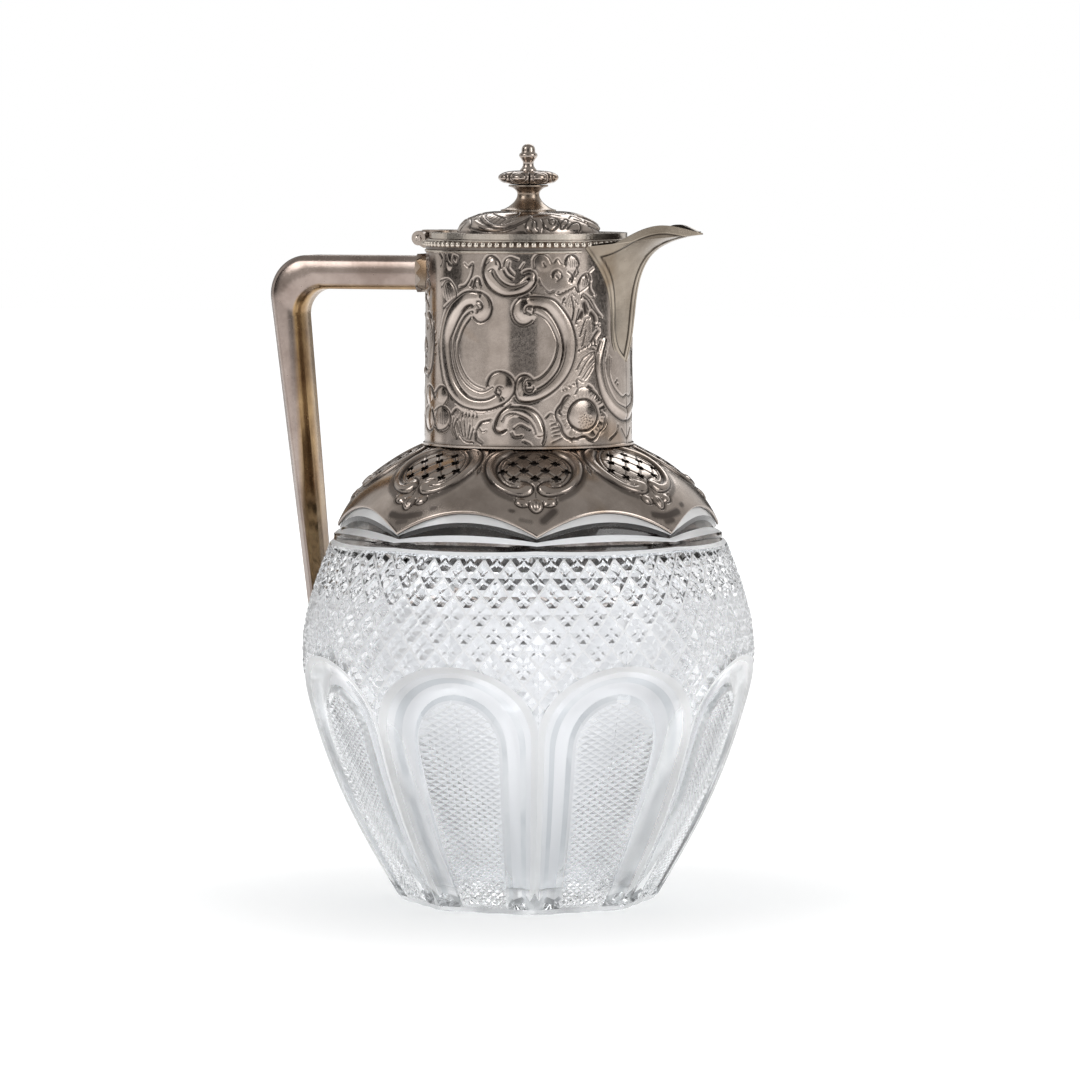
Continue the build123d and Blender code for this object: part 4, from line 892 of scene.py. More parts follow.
# what comes again towards the handle
LEFT = [
    [(-22.1, 218.1), (-19, 216), (-16.6, 215.7)], [(-21.7, 221.9), (-17, 224.4)],
    [(-20.8, 226), (-20.8, 228.7), (-19, 229.5), (-17.4, 228.5), (-18.2, 226.6), (-20.3, 224.6)],
    [(-14.9, 225.8), (-16.2, 227.7), (-15.1, 229.4), (-13.6, 228), (-14.9, 225.8)],
] + [MIDDLE[n] for n in (17, 20, 21, 25)]
DOTS = [
    (23.3, 217.4), (24.8, 217.1), (26, 217.7), (27.4, 218.2), (36.2, 221.3), (36, 220), (35.8, 218.7),
    (24.9, 183.2), (26, 183.5), (27.5, 184.3), (29.1, 185.1), (30.3, 185.5), (31.1, 197), (32.3, 197.4),
    (33.6, 198), (35, 198.6), (30.3, 206.3), (31.1, 207.8), (32, 209), (32.7, 210), (40, 205.7),
    (38.9, 204.6), (38.3, 202.6), (40.7, 179.5), (49.6, 186.1), (50.1, 184.6), (48.7, 185.4), (25.2, 214.9),
    (25.7, 213.6), (-12.7, 174.7), (-11, 174.4), (-9.4, 174.2), (-7.9, 173.9), (-6.2, 173.7),
]
LEAVES = [
    [(21.2, 222.4), (22, 224.4), (24.1, 224.7), (24.7, 222.6), (22.8, 221.1)],
    [(16.5, 222.1), (17.5, 219.8), (19.9, 217.5), (21.7, 218)],
    [(26, 227.7), (26.8, 229.8), (29.1, 230.6), (31.1, 229), (31.4, 226.7), (29.7, 224.7), (29.4, 222.6)],
    [(31.4, 221.1), (32.6, 223.1), (35, 223.9), (36.3, 222.1), (35, 219.5), (32, 217.5)],
    [(30.2, 190.3), (32.6, 193.9), (35.7, 195.9), (37.9, 196.4)],
    [(31.1, 188.2), (33.8, 192.3), (36.9, 195.4)], [(32.6, 187.2), (35, 190.3), (37.6, 192.8)],
    [(22.5, 173.3), (23.8, 170.2), (24.7, 167.7), (26.8, 166.1), (29.4, 166.4)],
    [(30.2, 165.6), (33.2, 167.1), (36.3, 165.6), (39.6, 167.7), (40, 169.7)],
    [(23.6, 174.8), (24.7, 177.9), (26.8, 180.5)], [(40, 168.7), (42.9, 170.2), (43.2, 173.3), (41, 175.4)],
    [(34.4, 184.1), (36.3, 183.6), (38.3, 182), (40.7, 179.5)], [(-25, 230.6), (-23, 228.8), (-24, 226.2)],
    [(-20.8, 230.6), (-20, 228.3), (-18, 226.7)],
    [(-16.9, 230.1), (-14.7, 229.3), (-15.4, 227), (-17.3, 228.3), (-16.9, 230.1)],
    [(-24, 221.1), (-19.6, 221.6), (-16.2, 219), (-15.4, 215.9), (-18, 212.9), (-20.8, 211.3)],
    [(-28.2, 181.5), (-24, 184.1), (-20.4, 182.6), (-19.6, 180), (-22.1, 177.4)],
    [(-27.6, 175.4), (-23, 177.4), (-19.2, 176.1), (-18, 172.8), (-19.6, 169.7), (-25, 168.2),
     (-28.8, 169.7)],
    [(-17.6, 174.3), (-15.1, 176.4), (-12.7, 175.4)], [(-16.2, 173.3), (-16.9, 169.7), (-15.1, 166.1)],
    [(8, 170.2), (10.1, 171.3), (13.2, 169.7)], [(11.1, 165.6), (13.2, 164.6), (14.2, 163)],
    [(27.4, 221.1), (28.8, 223.1), (29.7, 224.7)],
]
HOOKS = [
    [(-9.1, 219.5), (-8.2, 221.3)], [(-7.9, 219), (-7, 221.8), (-5.4, 222), (-4.7, 219.8)],
    [(-5.8, 170), (-4.4, 171.8), (-1.3, 172.5)], [(-6.6, 168.2), (-6.2, 165.6), (-4.4, 164.3)],
    [(34.4, 212.9), (35, 211.3)], [(36.6, 210.3), (37.9, 208.5)], [(37.6, 201), (38.3, 199.5)],
    [(23.6, 176.4), (24.1, 174.8)], [(29.1, 166.4), (28, 165.6)], [(35, 184.6), (36.6, 183.6)],
    [(-19.2, 170.7), (-18.6, 170.3)], [(18.1, 227.5), (18.4, 226.7)], [(22.8, 223.1), (23.3, 222.4)],
    [(28, 222.1), (28.5, 221.6)],
]
HAIR = [
    [(26, 212.9), (26.8, 215.2), (28.1, 217.5)], [(26.9, 212.6), (27.7, 215), (28.7, 217.4)],
    [(27.8, 212.3), (28.5, 214.9), (29.4, 217.3)], [(28.7, 212.1), (29.4, 214.7), (30.1, 217.2)],
    [(29.6, 211.8), (30.2, 214.5), (30.8, 217.1)], [(30.5, 211.6), (31.1, 214.4), (31.5, 217)],
    [(30.7, 205), (33.2, 206.2), (35.8, 208)], [(30.9, 204.2), (33.4, 205.5), (35.9, 207.2)],
    [(31, 203.4), (33.5, 204.7), (36, 206.4)], [(31.2, 202.6), (33.7, 204), (36.2, 205.7)],
    [(31.4, 201.8), (33.9, 203.3), (36.3, 204.9)], [(31.6, 200.9), (34.1, 202.6), (36.4, 204.1)],
    [(31.7, 200.1), (34.3, 201.9), (36.5, 203.4)], [(31.9, 199.3), (34.5, 201.1), (36.7, 202.6)],
    [(32.1, 198.5), (34.7, 200.4), (36.8, 201.8)], [(32.3, 197.7), (34.8, 199.7), (36.9, 201)],
    [(32.5, 196.8), (35, 199), (37.1, 200.3)], [(-15.1, 174.1), (-14.7, 169.7), (-13.5, 165.9)],
    [(-13.8, 173.9), (-13.4, 169.4), (-12.5, 165.7)], [(-12.5, 173.7), (-12.2, 169.1), (-11.4, 165.4)],
    [(-11.2, 173.5), (-11, 168.8), (-10.4, 165.2)], [(-10, 173.3), (-9.9, 168.5), (-9.4, 165)],
    [(-8.8, 173), (-8.8, 168.2), (-8.4, 164.8)], [(-7.7, 172.8), (-7.7, 167.9), (-7.4, 164.6)],
    [(-26.2, 174.2), (-25.8, 171.5)], [(-24.8, 174.4), (-24.5, 171.3)], [(-23.4, 174.6), (-23.2, 171.1)],
    [(-22.1, 174.8), (-22.1, 171)], [(-20.9, 174.6), (-20.9, 171.1)], [(-19.8, 174.4), (-19.8, 171.3)],
    [(27.5, 229), (28, 226.2)], [(28.4, 229), (28.8, 226.2)], [(29.3, 229), (29.7, 226.2)],
    [(30.2, 229), (30.5, 226.2)], [(32.6, 221.8), (33.1, 219.3)], [(33.4, 221.8), (33.8, 219.3)],
    [(34.3, 221.8), (34.5, 219.3)], [(35.2, 221.8), (35.3, 219.3)], [(-22.1, 219.8), (-20.8, 214.9)],
    [(-20.6, 219.4), (-19.4, 214.7)], [(-19.1, 219), (-18.1, 214.5)], [(-17.7, 218.6), (-16.8, 214.3)],
    [(40.7, 174.3), (42.9, 174.3)], [(40.6, 173.1), (43.1, 172.7)], [(40, 171.8), (42, 171.2)],
    [(39.2, 170.7), (41.2, 169.6)], [(38.1, 169.8), (39.5, 168.6)], [(36.8, 169), (38, 167.4)],
    [(29.8, 169), (28.9, 167.7)], [(28.7, 169.8), (27.3, 168.4)], [(27.7, 170.7), (26.4, 169.8)],
    [(27.1, 171.8), (25.3, 171.1)], [(26.7, 173.1), (25, 172.7)], [(26.5, 174.3), (24.5, 174.3)],
    [(26.7, 175.6), (25, 175.9)], [(27.1, 176.8), (25.3, 177.6)], [(27.7, 178), (26.4, 178.9)],
    [(28.7, 178.9), (27.3, 180.3)], [(29.8, 179.7), (28.9, 181)], [(31.1, 180.2), (30.4, 182)],
    [(32.5, 180.5), (32.3, 182)], [(33.9, 180.5), (34.2, 182.3)], [(35.4, 180.2), (36, 181.7)],
    [(36.8, 179.7), (38, 181.3)], [(38.1, 178.9), (39.5, 180.1)], [(39.2, 178), (41.2, 179)],
    [(40, 176.8), (42, 177.5)], [(40.6, 175.6), (43.1, 176)], [(20.4, 172.8), (23, 172.2)],
    [(20.9, 171.5), (23.3, 170.9)], [(21.5, 170.1), (23.5, 169.7)], [(22, 168.8), (23.7, 168.5)],
    [(22.5, 167.4), (23.9, 167.2)],
]
# how a stroke of each kind is cut: width, depth, tarnish in it, and the stain beside it
CUTS = (
    (BROAD, (0.85, 0.50, 0.95, 0.30)), (MIDDLE, (0.62, 0.38, 0.88)), (DEEP, (1.7, 0.55, 0.95)),
    ([line for line in FINE if len(line) > 3], (0.62, 0.40, 0.90)),
    ([line for line in FINE if len(line) < 4], (0.50, 0.30, 0.88, 0.12)),
    (LEAVES, (0.52, 0.26, 0.92, 0.14)), (HOOKS, (0.85, 0.45, 0.97, 0.12)), (HAIR, (0.40, 0.07, 0.55, 0.04)),
    ([[(x, y), (x + 0.2, y + 0.15)] for x, y in DOTS], (0.62, 0.30, 0.97, 0.08)),
)
# the eye of each scroll: its middle, and the angles where its line starts and ends
EYES = ((13.1, 184.0, 2.4, 6.6), (13.2, 211.2, 3.6, -0.8), (-5.4, 212.6, -2.0, 1.9), (2.7, 183.0, 1.0, 4.6))
# what is pushed up from behind: middle, half-width, half-height and how high
RAISED = (
    (4.2, 184.6, 3.6, 3.6, 0.34), (-4.6, 212.1, 3.9, 3.9, 0.34), (12.2, 211.2, 4.0, 4.0, 0.34),
    (13.0, 183.8, 3.8, 3.8, 0.34), (-23.0, 172.4, 4.4, 4.0, 0.15), (-19.4, 217.6, 3.4, 3.6, 0.15),
    (-23.0, 181.0, 3.4, 2.8, 0.15), (18.4, 227.4, 3.2, 3.0, 0.15), (28.4, 227.6, 3.0, 2.4, 0.15),
    (26.6, 219.4, 3.8, 3.0, 0.15), (33.0, 220.6, 1.8, 2.6, 0.15), (-18.9, 227.0, 1.6, 2.4, 0.15),
    (33.0, 174.4, 6.0, 5.5, 0.30),
)
BANDS = (
    (between(BROAD[0][9:24], BROAD[7], 0.42), 2.6, 0.60),
    (between(BROAD[2][1:16], BROAD[8], 0.42), 2.4, 0.60),
    ([(0.2, 227.0), (-1.6, 224.6), (0.0, 221.2), (4.5, 218.0), (9.5, 218.4), (13.2, 221.4)], 1.9, 0.5),
    ([(3.0, 170.4), (4.6, 174.6), (9.0, 176.0), (14.0, 173.6), (16.6, 168.6)], 1.7, 0.5),
    ([(43.4, 199.6), (40.9, 192), (42.3, 184), (47.5, 177.6), (56, 174.2)], 1.8, 0.5),
)
NECK_LOW, NECK_TOP = 162.52, 234.6
OPENING = (
    [194, 196.6, 202.5, 208, 213.8, 219, 224, 228, 233, 234.6],
    [0.3, 12.6, 14.9, 15.5, 16.8, 18.6, 23.5, 29.2, 35.6, 37],
)


def neck_radius(z):
    return 36.9 + (np.asarray(z, float) - 162.2) * (36.2 - 36.9) / 72.4


def spout_opening(z):
    """Half angle, in degrees, of the way out into the spout."""
    return np.interp(z, *OPENING)


def rose(work, x, y):
    """Large flower low down beside the spout: a domed middle with punched seeds, and lobes round it."""
    work.line(oval(x, y, 6.1, 5.6, np.linspace(0, TAU, 25)), 0.8, 0.5, 0.95, 0.3)
    for n in range(24):
        reach, turn = 3.1 * sqrt((n + 0.5) / 24), 2.4 * n
        work.line([(x + 0.7 + reach * cos(turn), 171.9 + reach * sin(turn))], 0.42, 0.3, 0.9, 0.1)
    for n in range(7):
        turn = radians(-150 + 38 * n)
        work.boss(x + 8.2 * cos(turn), y - 0.2 + 7.7 * sin(turn), 2.9, 2.7, 0.16)


def neck_chasing(along, up):
    """Two C-scrolls round a plain cartouche, with a shell above and below, and flowers and leaves beside."""
    work = Chasing(along, up)
    for strokes, cut in CUTS:
        work.lines(strokes, *cut)
    for x, y, first, last in EYES:
        work.line(oval(x, y, 1.5, 1.5, np.linspace(first, last, 8)), 0.75, 0.42, 0.96, 0.2)
    rose(work, 33.0, 174.4)
    for raised in RAISED:
        work.boss(*raised)
    for band in BANDS:
        work.swell(*band)
    # feathering of the long leaf between the cartouche and the spout
    feather = (0.36, 0.05, 0.50, 0.04)
    for n in range(15):
        root, tip = (30.3 + 0.15 * n, 189.5 + 1.75 * n), (34.4 + 0.28 * n, 191.5 + 1.7 * n)
        work.line([root, ((root[0] + tip[0]) / 2, (root[1] + tip[1]) / 2 + 0.7), tip], *feather)
    for n in range(9):
        work.line([(30.0 + 0.9 * n, 204.0 + 1.2 * n), (31.5 + 0.9 * n, 207.2 + 1.1 * n)], *feather)
    # towards the handle the same leaves come again, round a pair of small scrolls with a shell between them
    for way, shift in ((-1, -56.0), (1, -26.0)):
        work.lines([[(shift + way * x, y) for x, y in line] for line in LEFT], 0.7, 0.42, 0.9)
        for x, y in ((-23.0, 172.4), (-19.4, 217.6), (-23.0, 181.0)):
            work.boss(shift + way * x, y, 3.6, 3.6, 0.35)
    middle, height = -41.0, 198.5
    for way in (1, -1):
        small = lambda line: [(middle + 0.37 * way * (x - 8.5), height + 0.54 * (y - 197.0)) for x, y in line]
        work.line(small(BROAD[0]), 0.8, 0.42, 0.93, 0.25)
        work.line(small(BROAD[7]), 0.6, 0.42, 0.93, 0.25)
        work.swell(small(between(BROAD[0][9:24], BROAD[7], 0.45)), 1.3, 0.4)
        for n in range(9):
            turn = -1.1 + 0.275 * n
            x, y = middle - way * 12.6 * cos(turn), height + 12.4 * sin(turn)
            work.line([(x, y), (x - way * 1.7 * cos(turn), y + 1.7 * sin(turn) + 0.6)], 0.45, 0.22, 0.8, 0.08)
    for y, size in ((195.5, 1.0), (213.2, 0.62)):
        rim = []
        for k, t in enumerate(np.linspace(0.1, 3.04, 17)):
            wave = 0.5 * (k % 2)
            rim.append((middle + size * (5.0 + wave) * cos(t), y + size * (5.4 + wave) * sin(t)))
        work.line([(middle, y - 0.8)] + rim + [(middle, y - 0.8)], 0.65, 0.38, 0.9)
        work.boss(middle, y + 1.5, 4.6 * size, 4.6 * size, 0.35)
        rays = np.linspace(0.25, 2.9, 9)
        roots, tips = oval(middle, y, size, size, rays), oval(middle, y, 4.2 * size, 4.5 * size, rays)
        work.lines(list(zip(roots, tips)), 0.4, 0.18, 0.7, 0.06)
    # painted shade under the beads and along the joint at the foot of the neck, and soft dark streaks down
    # the middle
    work.stain([(-57, 232.4), (57, 232.4)], 2.4, 0.55)
    work.stain([(-57, 162.6), (57, 162.6)], 2.0, 0.75)
    work.stain([(16.0, 214.0), (19.5, 221.0), (17.5, 229.0)], 3.2, 0.42)
    work.stain([(22.5, 219.0), (21.0, 229.0)], 3.2, 0.42)
    work.stain([(-16, 164.5), (-4, 165.0)], 3.2, 0.42)
    return work


def neck():
    """Chased sleeve of the neck, in a near and a far half."""
    rows, inner_rows, columns = 226, 20, 359
    outer = np.arange(0, rows) * (72.08 / 225) + NECK_LOW
    inner = np.linspace(NECK_TOP, NECK_LOW, inner_rows)
    heights = np.concatenate([outer, inner])
    # columns run from the handle to the spout; beyond the bend they lean to follow the spout's opening
    plain = -180.0 + np.linspace(0, 1, columns) * 180.0
    bend = -48.0
    over = np.clip((plain - bend) / (0 - bend), 0, 1)[None, :]
    leaning = bend + over * (-spout_opening(heights)[:, None] - bend)
    angle = np.where(plain[None, :] < bend, plain[None, :], leaning)
    along = 36.55 * np.radians(angle + 90)
    work = neck_chasing(along[:rows], np.broadcast_to(outer[:, None], (rows, columns)))
    relief, dark = work.result((rows, columns))
    edge = np.clip(np.minimum(outer - NECK_LOW, NECK_TOP - outer) / 0.8, 0, 1)[:, None]
    back = np.broadcast_to(neck_radius(inner)[:, None] - 1.0, (inner_rows, columns))
    radius = np.vstack([neck_radius(outer)[:, None] + relief * edge, back])
    tarnish = np.vstack([dark, np.full((inner_rows, columns), 0.25)])
    near = from_axis(radius, np.radians(angle), heights[:, None])
    ends = ((0, rows), (columns - 1, rows))
    swept_sheet("neck_chased_near", near, tarnish, False, replaces=("neck_sleeve",), ends=ends)
    swept_sheet("neck_chased_far", near * [1, -1, 1], tarnish, False, ends=ends)


# ------------------------------------------------------------------ shoulder
# Strokes of one half of a cartouche: millimetres from its middle, across and down the slope.
CARTOUCHE = [
    (7.9, -12), (11.8, -10.6), (14.8, -7), (17, -2.3), (17.5, 2.3), (16.4, 7.2), (14, 11), (10.7, 13.5),
    (6.9, 14.8), (3, 14.8), (1.2, 13.1), (0.5, 11.3), (1.1, 9.5), (2.7, 8), (4.7, 7.6),
]
CARTOUCHE_TAIL = [(2.5, 19.1), (4.7, 19.5), (6.6, 18.8), (7.4, 17.2), (6.9, 15.9)]
CARTOUCHE_DARK = [
    (5.8, -10.8), (8.5, -8.1), (11.2, -4.8), (13.2, -0.8), (13.6, 2.7), (12.7, 6.4), (10.7, 9.5), (8.5, 11),
    (6.3, 11),
]
CARTOUCHE_THIN = [
    (3, -10.6), (5.8, -8.6), (9, -5.4), (11.2, -1.3), (11.9, 2.3), (11.2, 5.6), (9.6, 8.2), (7.4, 9.3),
]
CARTOUCHE_RIB = [
    (8.5, -10.4), (12.4, -7.6), (14.9, -2.9), (15.6, 2.4), (14.5, 6.9), (12.2, 10.4), (9, 12.6), (5, 13),
    (2.9, 11.4),
]
SPRIGS = [
    [(18.9, -1.3), (18.9, 2.3), (20.6, 4.8), (21.9, 3.2), (21.4, 0.6), (20.0, -1.0), (18.9, -1.3)],
    [(20.6, 4.8), (21.4, 6.4)], [(13.4, -12.7), (16.4, -7.6), (18.1, -3.3)],
    [(19.5, -14.5), (20.6, -11.3), (19.0, -7.6)], [(19.5, -2.3), (20.8, -1.3), (22.2, -2.3)],
    [(20.4, 0.0), (20.6, 2.8)], [(10.4, -12.6), (13.0, -13.6), (15.4, -12.2)],
]
LOBE = [(-2.5, 17.2), (-2.7, 19.1), (-1.5, 21.2), (0, 21.9), (1.5, 21.2), (2.7, 19.1), (2.5, 17.2)]
LOBE_VEINS = [
    [(0, 17.5), (0, 20.1)], [(0, 13.1), (0, 15.5)], [(-1.1, 18.2), (-0.9, 20.3)], [(1.1, 18.2), (0.9, 20.3)],
]
# violet-brown stains left near the cusps of every other scallop: path, half-width, darkness
CUSP_STAINS = (
    (([(2.5, 25), (6, 21.5)], 2.4, 0.75), ([(-9, 21), (-8, 21.2)], 1.2, 0.7),
     ([(-5.5, 24.6), (-2, 25.4)], 1.3, 0.5)),
    (([(-5.6, 23.9), (0, 24.6), (7.5, 23.2)], 2.3, 0.78), ([(-1, 26.8), (2.6, 26.2)], 1.9, 0.70),
     ([(11.4, 20.9), (12.6, 20.6)], 1.6, 0.72)),
)
CROSS_WIDE, CROSS_TALL = 7.4, 4.3             # spaces between the pierced crosses
CROSSES = [
    (CROSS_WIDE * (i - (count - 1) / 2), -CROSS_TALL * row)
    for row, count in ((1.5, 2), (0.5, 3), (-0.5, 4), (-1.5, 3)) for i in range(count)]
SHOULDER_MIDDLE = acos((47.8 - SHOULDER_X) / SHOULDER_R)    # slope at a cartouche's middle


def cross_distance(x, y):
    """Distance outside one pierced cross, whose arms are leaf-shaped."""
    far = np.full(x.shape, 9.0)
    arm = 1.75
    for a, b in ((x, y), (y, x)):
        a, b = np.abs(a), np.abs(b)
        half = 0.34 + 0.38 * np.clip(1 - ((a - 1.0) / 0.75) ** 2, 0, 1)
        far = np.minimum(far, np.where(a < arm, b - half, np.hypot(a - arm, np.maximum(b - 0.15, 0))))
    return far


def shoulder_chasing(x, y, odd):
    """One cartouche: a ribbed frame with sprigs beside it, a lobe under it, and engraved diamonds inside."""
    work = Chasing(x, y)
    for side in (1, -1):
        flip = lambda line: [(side * a, b) for a, b in line]
        work.line(flip(CARTOUCHE), 0.85, 0.5, 0.95, 0.35)
        work.line(flip(CARTOUCHE_TAIL), 0.75, 0.45, 0.95, 0.3)
        work.line(flip(CARTOUCHE_DARK), 1.25, 0.55, 0.92, 0.30)
        work.line(flip(CARTOUCHE_THIN), 0.5, 0.3, 0.85)
        work.lines([flip(line) for line in SPRIGS], 0.6, 0.35, 0.9, 0.25)
        work.swell(flip(CARTOUCHE_RIB), 2.0, 0.75)
        work.boss(side * 3.4, 11.2, 2.6, 2.6, 0.45)
        work.boss(side * 5.0, 17.6, 1.9, 1.7, 0.5)
        work.boss(side * 20.3, 2.0, 1.8, 2.6, 0.4)
        # painted shadow outside the lower part of the frame, below its raised rib
        work.stain(flip([(17.9, 4.5), (16.2, 9.4), (13.2, 13.4), (8.6, 16.2)]), 1.9, 0.62)
        # leaf scrolls crowded against the joint
        for x0, y0 in ((16.2, -13.6), (8.6, -14.9)):
            turns = [(t, 1 - t / 9) for t in np.linspace(0, 5.2, 12)]
            curl = [(side * (x0 + 1.9 * cos(t) * shrink), y0 + 1.7 * sin(t) * shrink) for t, shrink in turns]
            work.line(curl, 0.5, 0.3, 0.85, 0.3)
    work.line(LOBE, 0.8, 0.5, 0.95, 0.3)
    work.boss(0, 18.9, 2.3, 2.7, 0.7)
    work.lines(LOBE_VEINS, 0.45, 0.25, 0.85)
    inside = ((work.u / 11.7) ** 2 + ((work.v + 0.1) / 9.6) ** 2 < 1)
    for way in (1, -1):
        p = work.u / CROSS_WIDE + way * (work.v - CROSS_TALL / 2) / (2 * CROSS_TALL)
        far = np.abs(p - np.floor(p) - 0.5) * 5.6
        work.cut = np.where(inside, np.maximum(work.cut, 0.25 * np.clip(1 - far / 0.4, 0, 1)), work.cut)
        work.dark = np.where(inside, np.maximum(work.dark, 0.8 * np.exp(-(far / 0.34) ** 2)), work.dark)
    # painted shade along the joint with the neck, at the top of the collar
    work.stain([(-30, -18.0), (30, -18.0)], 3.4, 0.75)
    # darker towards the scalloped lower edge
    work.dark = np.maximum(work.dark, np.interp(work.v, [12, 20], [0.06, 0.17]))
    for stain in CUSP_STAINS[odd]:
        work.stain(*stain)
    return work


def shoulder_sheet(angle, slope, inset):
    """Points of the shoulder at angles and at slopes round its arc, the given depth under its face."""
    reach = SHOULDER_R - inset
    radius, height = SHOULDER_X + reach * np.cos(slope), SHOULDER_Z + reach * np.sin(slope)
    return from_axis(radius, np.radians(angle), height)


def on_cartouche(angle, slope):
    """Where a point lies on the plane that touches a cartouche's middle."""
    centre = np.array([47.8, SHOULDER_Z + SHOULDER_R * sin(SHOULDER_MIDDLE)])
    place = shoulder_sheet(angle, slope, 0)
    away = np.stack([place[..., 0], place[..., 2]], -1) - centre
    return place[..., 1], away @ np.array([sin(SHOULDER_MIDDLE), -cos(SHOULDER_MIDDLE)])


def onto_crosses(angle, slope):
    """Moves the points that lie beside a pierced edge on to it."""
    step = 0.02
    x, y = on_cartouche(angle, slope)
    best, move_x, move_y = np.full(x.shape, 9.0), np.zeros(x.shape), np.zeros(x.shape)
    for cx, cy in CROSSES:
        far = cross_distance(x - cx, y - cy)
        gx = (cross_distance(x - cx + step, y - cy) - far) / step
        gy = (cross_distance(x - cx, y - cy + step) - far) / step
        size = np.maximum(np.hypot(gx, gy), 0.3) ** 2
        hit = np.abs(far) < np.abs(best)
        best = np.where(hit, far, best)
        move_x, move_y = np.where(hit, -far * gx / size, move_x), np.where(hit, -far * gy / size, move_y)
    near = np.abs(best) < 0.17
    radius = SHOULDER_X + SHOULDER_R * np.cos(slope)
    turned_by = np.where(near, np.degrees(move_x / radius), 0)
    return angle + turned_by, slope - np.where(near, move_y / SHOULDER_R, 0)


def shoulder():
    """Domed collar: eight cartouches, chased and pierced, over a scalloped edge; each piece holds two."""
    rows, columns = 122, 119
    angle = np.linspace(-HALF, HALF, columns)[None, :] + np.zeros((rows, 1))
    low = 142.0 - 8.0 * (1 - np.abs(angle[0]) / HALF) ** 2
    start = np.arcsin((low - SHOULDER_Z) / SHOULDER_R)
    top = acos((35.95 - SHOULDER_X) / SHOULDER_R)
    slope = top + (start - top)[None, :] * np.linspace(0, 1, rows)[:, None]
    for _ in range(2):
        angle, slope = onto_crosses(angle, slope)
    x, y = on_cartouche(angle, slope)
    arc_x = np.radians(angle) * (SHOULDER_X + SHOULDER_R * np.cos(slope))
    arc_y = SHOULDER_R * (SHOULDER_MIDDLE - slope)
    mid = lambda values: (values[:-1, :-1] + values[1:, :-1] + values[:-1, 1:] + values[1:, 1:]) / 4
    whole = np.ones((rows - 1, columns - 1), bool)
    for cx, cy in CROSSES:
        whole &= cross_distance(mid(x) - cx, mid(y) - cy) > -0.02
    rim = np.linspace(0, 1, rows)[:, None]
    sectors = []
    for odd in (0, 1):
        relief, dark = shoulder_chasing(arc_x, arc_y, odd).result(x.shape)
        relief = relief * np.clip((1 - rim) * 30, 0, 1) * np.clip(rim * 30, 0, 1)
        relief = relief - 0.35 * np.clip((rim - 0.985) / 0.015, 0, 1)
        sectors.append((shoulder_sheet(angle, slope, -relief), shoulder_sheet(angle, slope, 1.0), dark))
    for part in range(4):
        outer, inner, dark = [], [], []
        for odd in (0, 1):
            turn = radians(45 * (2 * part + odd) + HALF)
            spin = np.array([[cos(turn), -sin(turn), 0], [sin(turn), cos(turn), 0], [0, 0, 1]])
            face, back, tarnish = sectors[odd]
            outer.append((face @ spin.T)[:, odd:])
            inner.append((back @ spin.T)[:, odd:])
            dark.append(tarnish[:, odd:])
        pierced_sheet("shoulder_quarter_%d" % (part + 1), np.hstack(outer), np.hstack(inner), np.hstack(dark),
                      np.hstack([whole, whole]), chased, ("shoulder_collar",) if part == 0 else ())


# ------------------------------------------------------------------ lid dome
DOME_PROFILE = [
    (25.2, 237.5), (25.12, 238.3), (24.75, 239.3), (23.3, 240.95), (20.9, 242.65), (18.1, 243.95),
    (14.5, 244.8), (11.5, 245.05), (9.2, 245.1),
]
# Strokes of a third of the dome: millimetres round, and up from its edge.
PLUME = [
    [(-19.1, 9.8), (-13, 5), (-9.2, 3.5), (-5.7, 4.7), (-2.9, 7.4), (0.2, 9.8)],
    [(-18.6, 7.1), (-12.8, 3.1), (-8.7, 1.8), (-5.3, 2.4), (-2.6, 4.5), (0.2, 7.4)],
    [(-20.7, 2.6), (-14.6, 1), (-8.9, 0.8), (-5.2, 1.7), (-1.4, 4.5), (0.5, 7.4)],
    [(-16.8, 11.8), (-10.5, 8.5), (-7, 7.4), (-4.2, 11), (-5.2, 15.5)],
    [(0.5, 7.4), (2.4, 5.9), (2.4, 2.6), (2.9, 0.9), (2.1, 0.3)],
    [(0.2, 6.5), (-0.9, 4), (-0.5, 1.2), (0.4, 0.5)],
]
LID_FLOWERS = [
    [(4.5, 7.1), (4.7, 4.5), (5, 2.2), (6.3, 1), (7.8, 1.8), (9.7, 4), (10.3, 6.5), (9.1, 8.1), (6.9, 8.1),
     (4.5, 7.1)],
    [(6.6, 6.5), (6.5, 4), (7.6, 3.5), (8.7, 5), (8.4, 6.3), (7.2, 5.8)],
    [(10, 4), (9.6, 1.4), (10.9, 2.6), (13.1, 4.5), (13.9, 6.5), (12.6, 6.5), (10, 4)],
    [(11.9, 1.8), (14.3, 4), (17.2, 4.5), (17, 2.2), (16, 0.7)], [(15.1, 7.1), (18.4, 9), (20.6, 6)],
    [(17, 6.5), (19.7, 5), (21.7, 3.1), (22.3, 1)], [(4, 0.7), (4.5, 2.2), (4.3, 4)], [(1.4, 5.5), (1, 2.2)],
    [(0.5, 8.8), (4.7, 11), (8.9, 11), (12.5, 9.2)], [(12, 12.5), (16, 11), (19.5, 12.5)],
    [(9.5, 7.1), (9.9, 5.5), (8.7, 3.5)],
]


